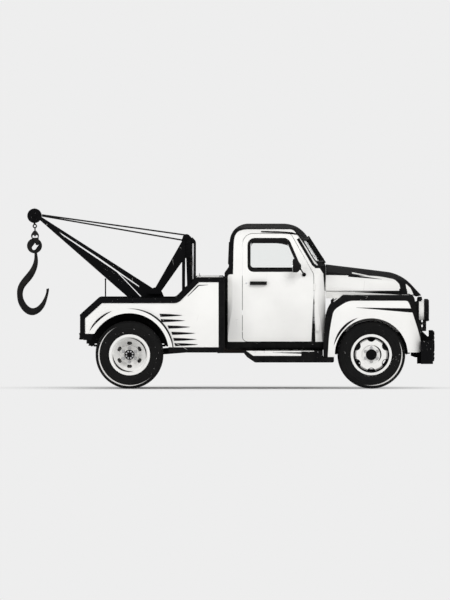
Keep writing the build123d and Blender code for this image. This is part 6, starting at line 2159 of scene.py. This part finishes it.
    def _hook(self, paints: Paints) -> None:
        """Builds the clevis pin's head, nut and split pin, and the swivel's nut."""
        pin = Piece("hook_pin")
        x, z = -2.291, 1.763
        pin.rod((x, -0.0355, z), (x, -0.044, z), 0.0175, 0.016, sides=20, bevel=0.001)
        pin.rod((x, 0.0355, z), (x, 0.045, z), 0.0175, sides=6)
        pin.rod((x, 0.0445, z), (x, 0.051, z), 0.0095, sides=12)
        pin.rod((x - 0.014, 0.048, z), (x + 0.016, 0.048, z), 0.0018, sides=8)
        pin.done(paints.forged, "forged_steel", body="chain_link")
        swivel = Piece("swivel_nut")
        swivel.rod((-2.318, 0, 1.862), (-2.318, 0, 1.884), 0.021, sides=6, bevel=0.001)
        swivel.rod((-2.318, 0, 1.85), (-2.318, 0, 1.863), 0.01, sides=14)
        swivel.lathe(((0, 0.0145), (0, 0.023), (0.01, 0.0215), (0.014, 0.0145)), (-2.318, 0, 1.903), axis=(0, 0, 1),
                     sides=28)
        swivel.done(paints.forged, "forged_steel", body="chain_link")


@dataclass
class Chassis(Assembly):
    """Frame, axles and springs: U-bolts, tank, pipes, shaft joints, exhaust clamps and dampers.

    Args:
        spring_y: how far the springs stand out from the middle.
        tank: rear and front end of the fuel tank.
        shaft: rear and front end of the drive shaft.
        exhaust: the exhaust's axis as (y, z).
    """

    spring_y: float = 0.362
    tank: Flat = (-0.56, -0.06)
    shaft: tuple[Point, Point] = ((-0.965, 0, 0.431), (0.696, 0, 0.562))
    exhaust: Flat = (-0.265, 0.5)
    coats = (("chassis", "chassis_frame front_axle rear_axle tie_rod leaf_springs " + pair("knuckle")),
             ("exhaust", "exhaust"))

    def build(self, paints: Paints) -> None:
        """Builds the fittings under the truck."""
        bolts = Piece("spring_bolts")
        for x, top, low in ((FRONT_HUB[0], 0.432, 0.312), (REAR_HUB[0], 0.529, 0.362)):
            for dx in (-0.04, 0.04):
                for dy in (-0.036, 0.036):
                    y = self.spring_y + dy
                    bolts.rod((x + dx, y, low), (x + dx, y, top + 0.006), 0.006, sides=10)
                    bolts.rod((x + dx, y, low), (x + dx, y, low + 0.01), 0.011, sides=6)
                bolts.rod((x + dx, self.spring_y - 0.036, top + 0.006), (x + dx, self.spring_y + 0.036, top + 0.006),
                          0.006, sides=10)
            bolts.box((x - 0.055, self.spring_y - 0.046, low + 0.008), (x + 0.055, self.spring_y + 0.046, low + 0.018),
                      0.002)
        for x, half, top in ((FRONT_HUB[0], 0.47, 0.43), (REAR_HUB[0], 0.5, 0.527)):
            for end in (x - half + 0.04, x + half - 0.04):
                bolts.rod((end, self.spring_y - 0.038, top - 0.004), (end, self.spring_y + 0.038, top - 0.004), 0.014,
                          sides=16)
            for dx in (-0.24, 0.24):
                bolts.box((x + dx - 0.014, self.spring_y - 0.034, top - 0.04),
                          (x + dx + 0.014, self.spring_y + 0.034, top + 0.004), 0.001)
        bolts.mirror().done(paints.chassis, "chassis_black")
        tank = Piece("fuel_tank")
        tank.plate(((0.406, 0.47), (0.4, 0.5), (0.4, 0.65), (0.416, 0.672), (0.6, 0.672), (0.622, 0.65),
                    (0.622, 0.495), (0.6, 0.47)), *self.tank, "x", 0.008)
        for x in (-0.47, -0.15):
            tank.plate(((0.394, 0.464), (0.394, 0.678), (0.628, 0.678), (0.628, 0.464)), x - 0.018, x + 0.018, "x",
                       0.002)
        tank.rod((-0.31, 0.61, 0.64), (-0.31, 0.655, 0.668), 0.026, sides=20)
        tank.rod((-0.31, 0.652, 0.666), (-0.31, 0.668, 0.676), 0.033, sides=12, bevel=0.002)
        tank.done(paints.chassis, "chassis_black")
        pipes = Piece("brake_pipes")
        for y, z in ((-0.33, 0.64), (0.331, 0.648)):
            pipes.tube([(-1.15, y, z), (-0.6, y, z), (0.4, y, z), (1.3, y, z), (1.78, y, z)], 0.0045, 8)
            for n in range(7):
                x = -1.02 + 0.44 * n
                pipes.box((x - 0.01, y - 0.007, z - 0.008), (x + 0.01, y + 0.007, z + 0.008), 0.001)
        pipes.done(paints.steel, "chassis_black", 40)
        joints = Piece("shaft_joints")
        start, end = (Vector(point) for point in self.shaft)
        way = (end - start).normalized()
        for spot in (start + way * 0.05, end - way * 0.07):
            joints.rod(spot, spot + way * 0.016, 0.06, sides=28, bevel=0.002)
            joints.rod(spot + way * 0.022, spot + way * 0.036, 0.06, sides=28, bevel=0.002)
            for n in range(6):
                angle = math.radians(60 * n)
                side_way = Vector((0, math.cos(angle), 0)) + way.cross(Vector((0, 1, 0))) * math.sin(angle)
                joints.bolt(spot - way * 0.002 + side_way * 0.048, -way, 0.007, 0.006)
        joints.done(paints.forged, "chassis_black")
        clamps = Piece("exhaust_clamps")
        y, z = self.exhaust
        for x, radius in ((-0.08, 0.074), (0.48, 0.074), (-0.43, 0.028), (-0.14, 0.03), (0.56, 0.03), (0.98, 0.028)):
            clamps.lathe(((-0.012, radius - 0.004), (-0.012, radius), (0.012, radius), (0.012, radius - 0.004)),
                         (x, y, z), axis=(1, 0, 0), sides=36)
            clamps.box((x - 0.01, y - 0.003, z + radius - 0.002), (x + 0.01, y + 0.003, 0.6), 0.001)
        clamps.done(paints.chassis, "exhaust_steel")
        dampers = Piece("dampers")
        for x, dx, low, high in ((1.69, 0.06, 0.4, 0.64), (-1.29, -0.05, 0.44, 0.66)):
            foot, top = Vector((x, 0.3, low)), Vector((x + dx, 0.318, high))
            way = top - foot
            dampers.rod(foot, foot + way * 0.58, 0.026, sides=20, bevel=0.002)
            dampers.rod(foot + way * 0.56, top, 0.011, sides=14)
            dampers.rod(top - Vector((0, 0.02, 0)), top + Vector((0, 0.02, 0)), 0.018, sides=16)
        dampers.mirror().done(paints.chassis, "chassis_black")


# ---------------------------------------------------------------- studio
@dataclass
class Studio:
    """Pale floor, even backdrop, soft lamps and a level side camera.

    Args:
        tone: grey of the floor and backdrop.
        sky: strength of the even light from all round.
        metres_per_pixel: scale of the picture.
        frame_height: its height in pixels.
        view_height: height that the camera looks at, in metres.
        near_side: the truck's nearest face, which the camera's distance is measured from.
        distance: how far the camera stands off.
        tilt: the camera's elevation in degrees, just enough to show the floor's contact shadow.
        floor_radius: radius of the floor.
        floor_drop: how far the floor lies under the tyres.
    """

    tone: float = 0.855
    sky: float = 0.5
    metres_per_pixel: float = 0.0122
    frame_height: int = 600
    view_height: float = 1.0821
    near_side: float = -0.85
    distance: float = 30.0
    tilt: float = 0.6
    floor_radius: float = 60
    floor_drop: float = 0.001

    def build(self) -> None:
        """Builds the floor, world, lamps and camera."""
        self._floor()
        self._world()
        self._lamps()
        self._camera()

    def _floor(self) -> None:
        """Lays a round floor that fades into the backdrop."""
        mesh = bpy.data.meshes.new("floor")
        form = bmesh.new()
        bmesh.ops.create_circle(form, cap_ends=True, segments=96, radius=self.floor_radius)
        form.to_mesh(mesh)
        form.free()
        floor = bpy.data.objects.new("floor", mesh)
        floor.location.z = -self.floor_drop
        mesh.materials.append(Stage("floor_tone", self.tone).build())
        bpy.context.scene.collection.objects.link(floor)

    def _world(self) -> None:
        """Lights the truck evenly, and shows cameras and reflections the backdrop's tone."""
        world = bpy.data.worlds.new("backdrop")
        bpy.context.scene.world = world
        graph = Graph(world)
        rays = graph.add("LightPath")
        camera, glossy, bent = (Field(graph, rays.outputs[f"Is {kind} Ray"])
                                for kind in ("Camera", "Glossy", "Transmission"))
        sky = graph.shader("Background", Color=(1.0, 1.0, 1.0), Strength=self.sky)
        tone = graph.shader("Background", Color=(self.tone,) * 3, Strength=1.0)
        graph.end(graph.mixed(camera.most(glossy, bent), sky, tone), "OutputWorld")

    def _lamps(self) -> None:
        """Hangs three large soft lamps."""
        for name, place, size, power in (("key", (3.5, -8.0, 6.5), 5.0, 400), ("fill", (-6.5, -7.0, 3.5), 5.0, 200),
                                         ("back", (0.0, 8.0, 7.0), 6.0, 160)):
            lamp = bpy.data.lights.new(name, "AREA")
            lamp.shape, lamp.size, lamp.energy = "DISK", size, power
            obj = bpy.data.objects.new(name, lamp)
            obj.location = place
            aim = Vector((0, 0, 0.9)) - Vector(place)
            obj.rotation_euler = aim.to_track_quat("-Z", "Y").to_euler()
            bpy.context.scene.collection.objects.link(obj)

    def _camera(self) -> None:
        """Sets a level camera square to the truck's right side."""
        data = bpy.data.cameras.new("camera")
        data.type = "ORTHO"
        data.ortho_scale = self.frame_height * self.metres_per_pixel
        data.clip_end = 400
        camera = bpy.data.objects.new("camera", data)
        rise = math.tan(math.radians(self.tilt))
        camera.location = (0, self.near_side - self.distance, self.view_height + self.distance * rise)
        camera.rotation_euler = (math.radians(90 - self.tilt), 0, 0)
        bpy.context.scene.collection.objects.link(camera)
        bpy.context.scene.camera = camera
        bpy.context.scene.view_settings.view_transform = "Standard"


def main() -> None:
    """Builds and dresses the truck."""
    logging.basicConfig(level=logging.INFO, format="%(message)s")
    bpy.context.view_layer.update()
    paints = Paints()
    for assembly in (Tyres, Wheels, CabShell, DoorTrim, Seat, Controls, Nose, EngineBay, RunningBoards, Bed, Locker,
                     TailLamps, Rig, Chassis):
        part = assembly()
        part.build(paints)
        part.dress(paints)
    Studio().build()


if __name__ == "__main__":
    main()
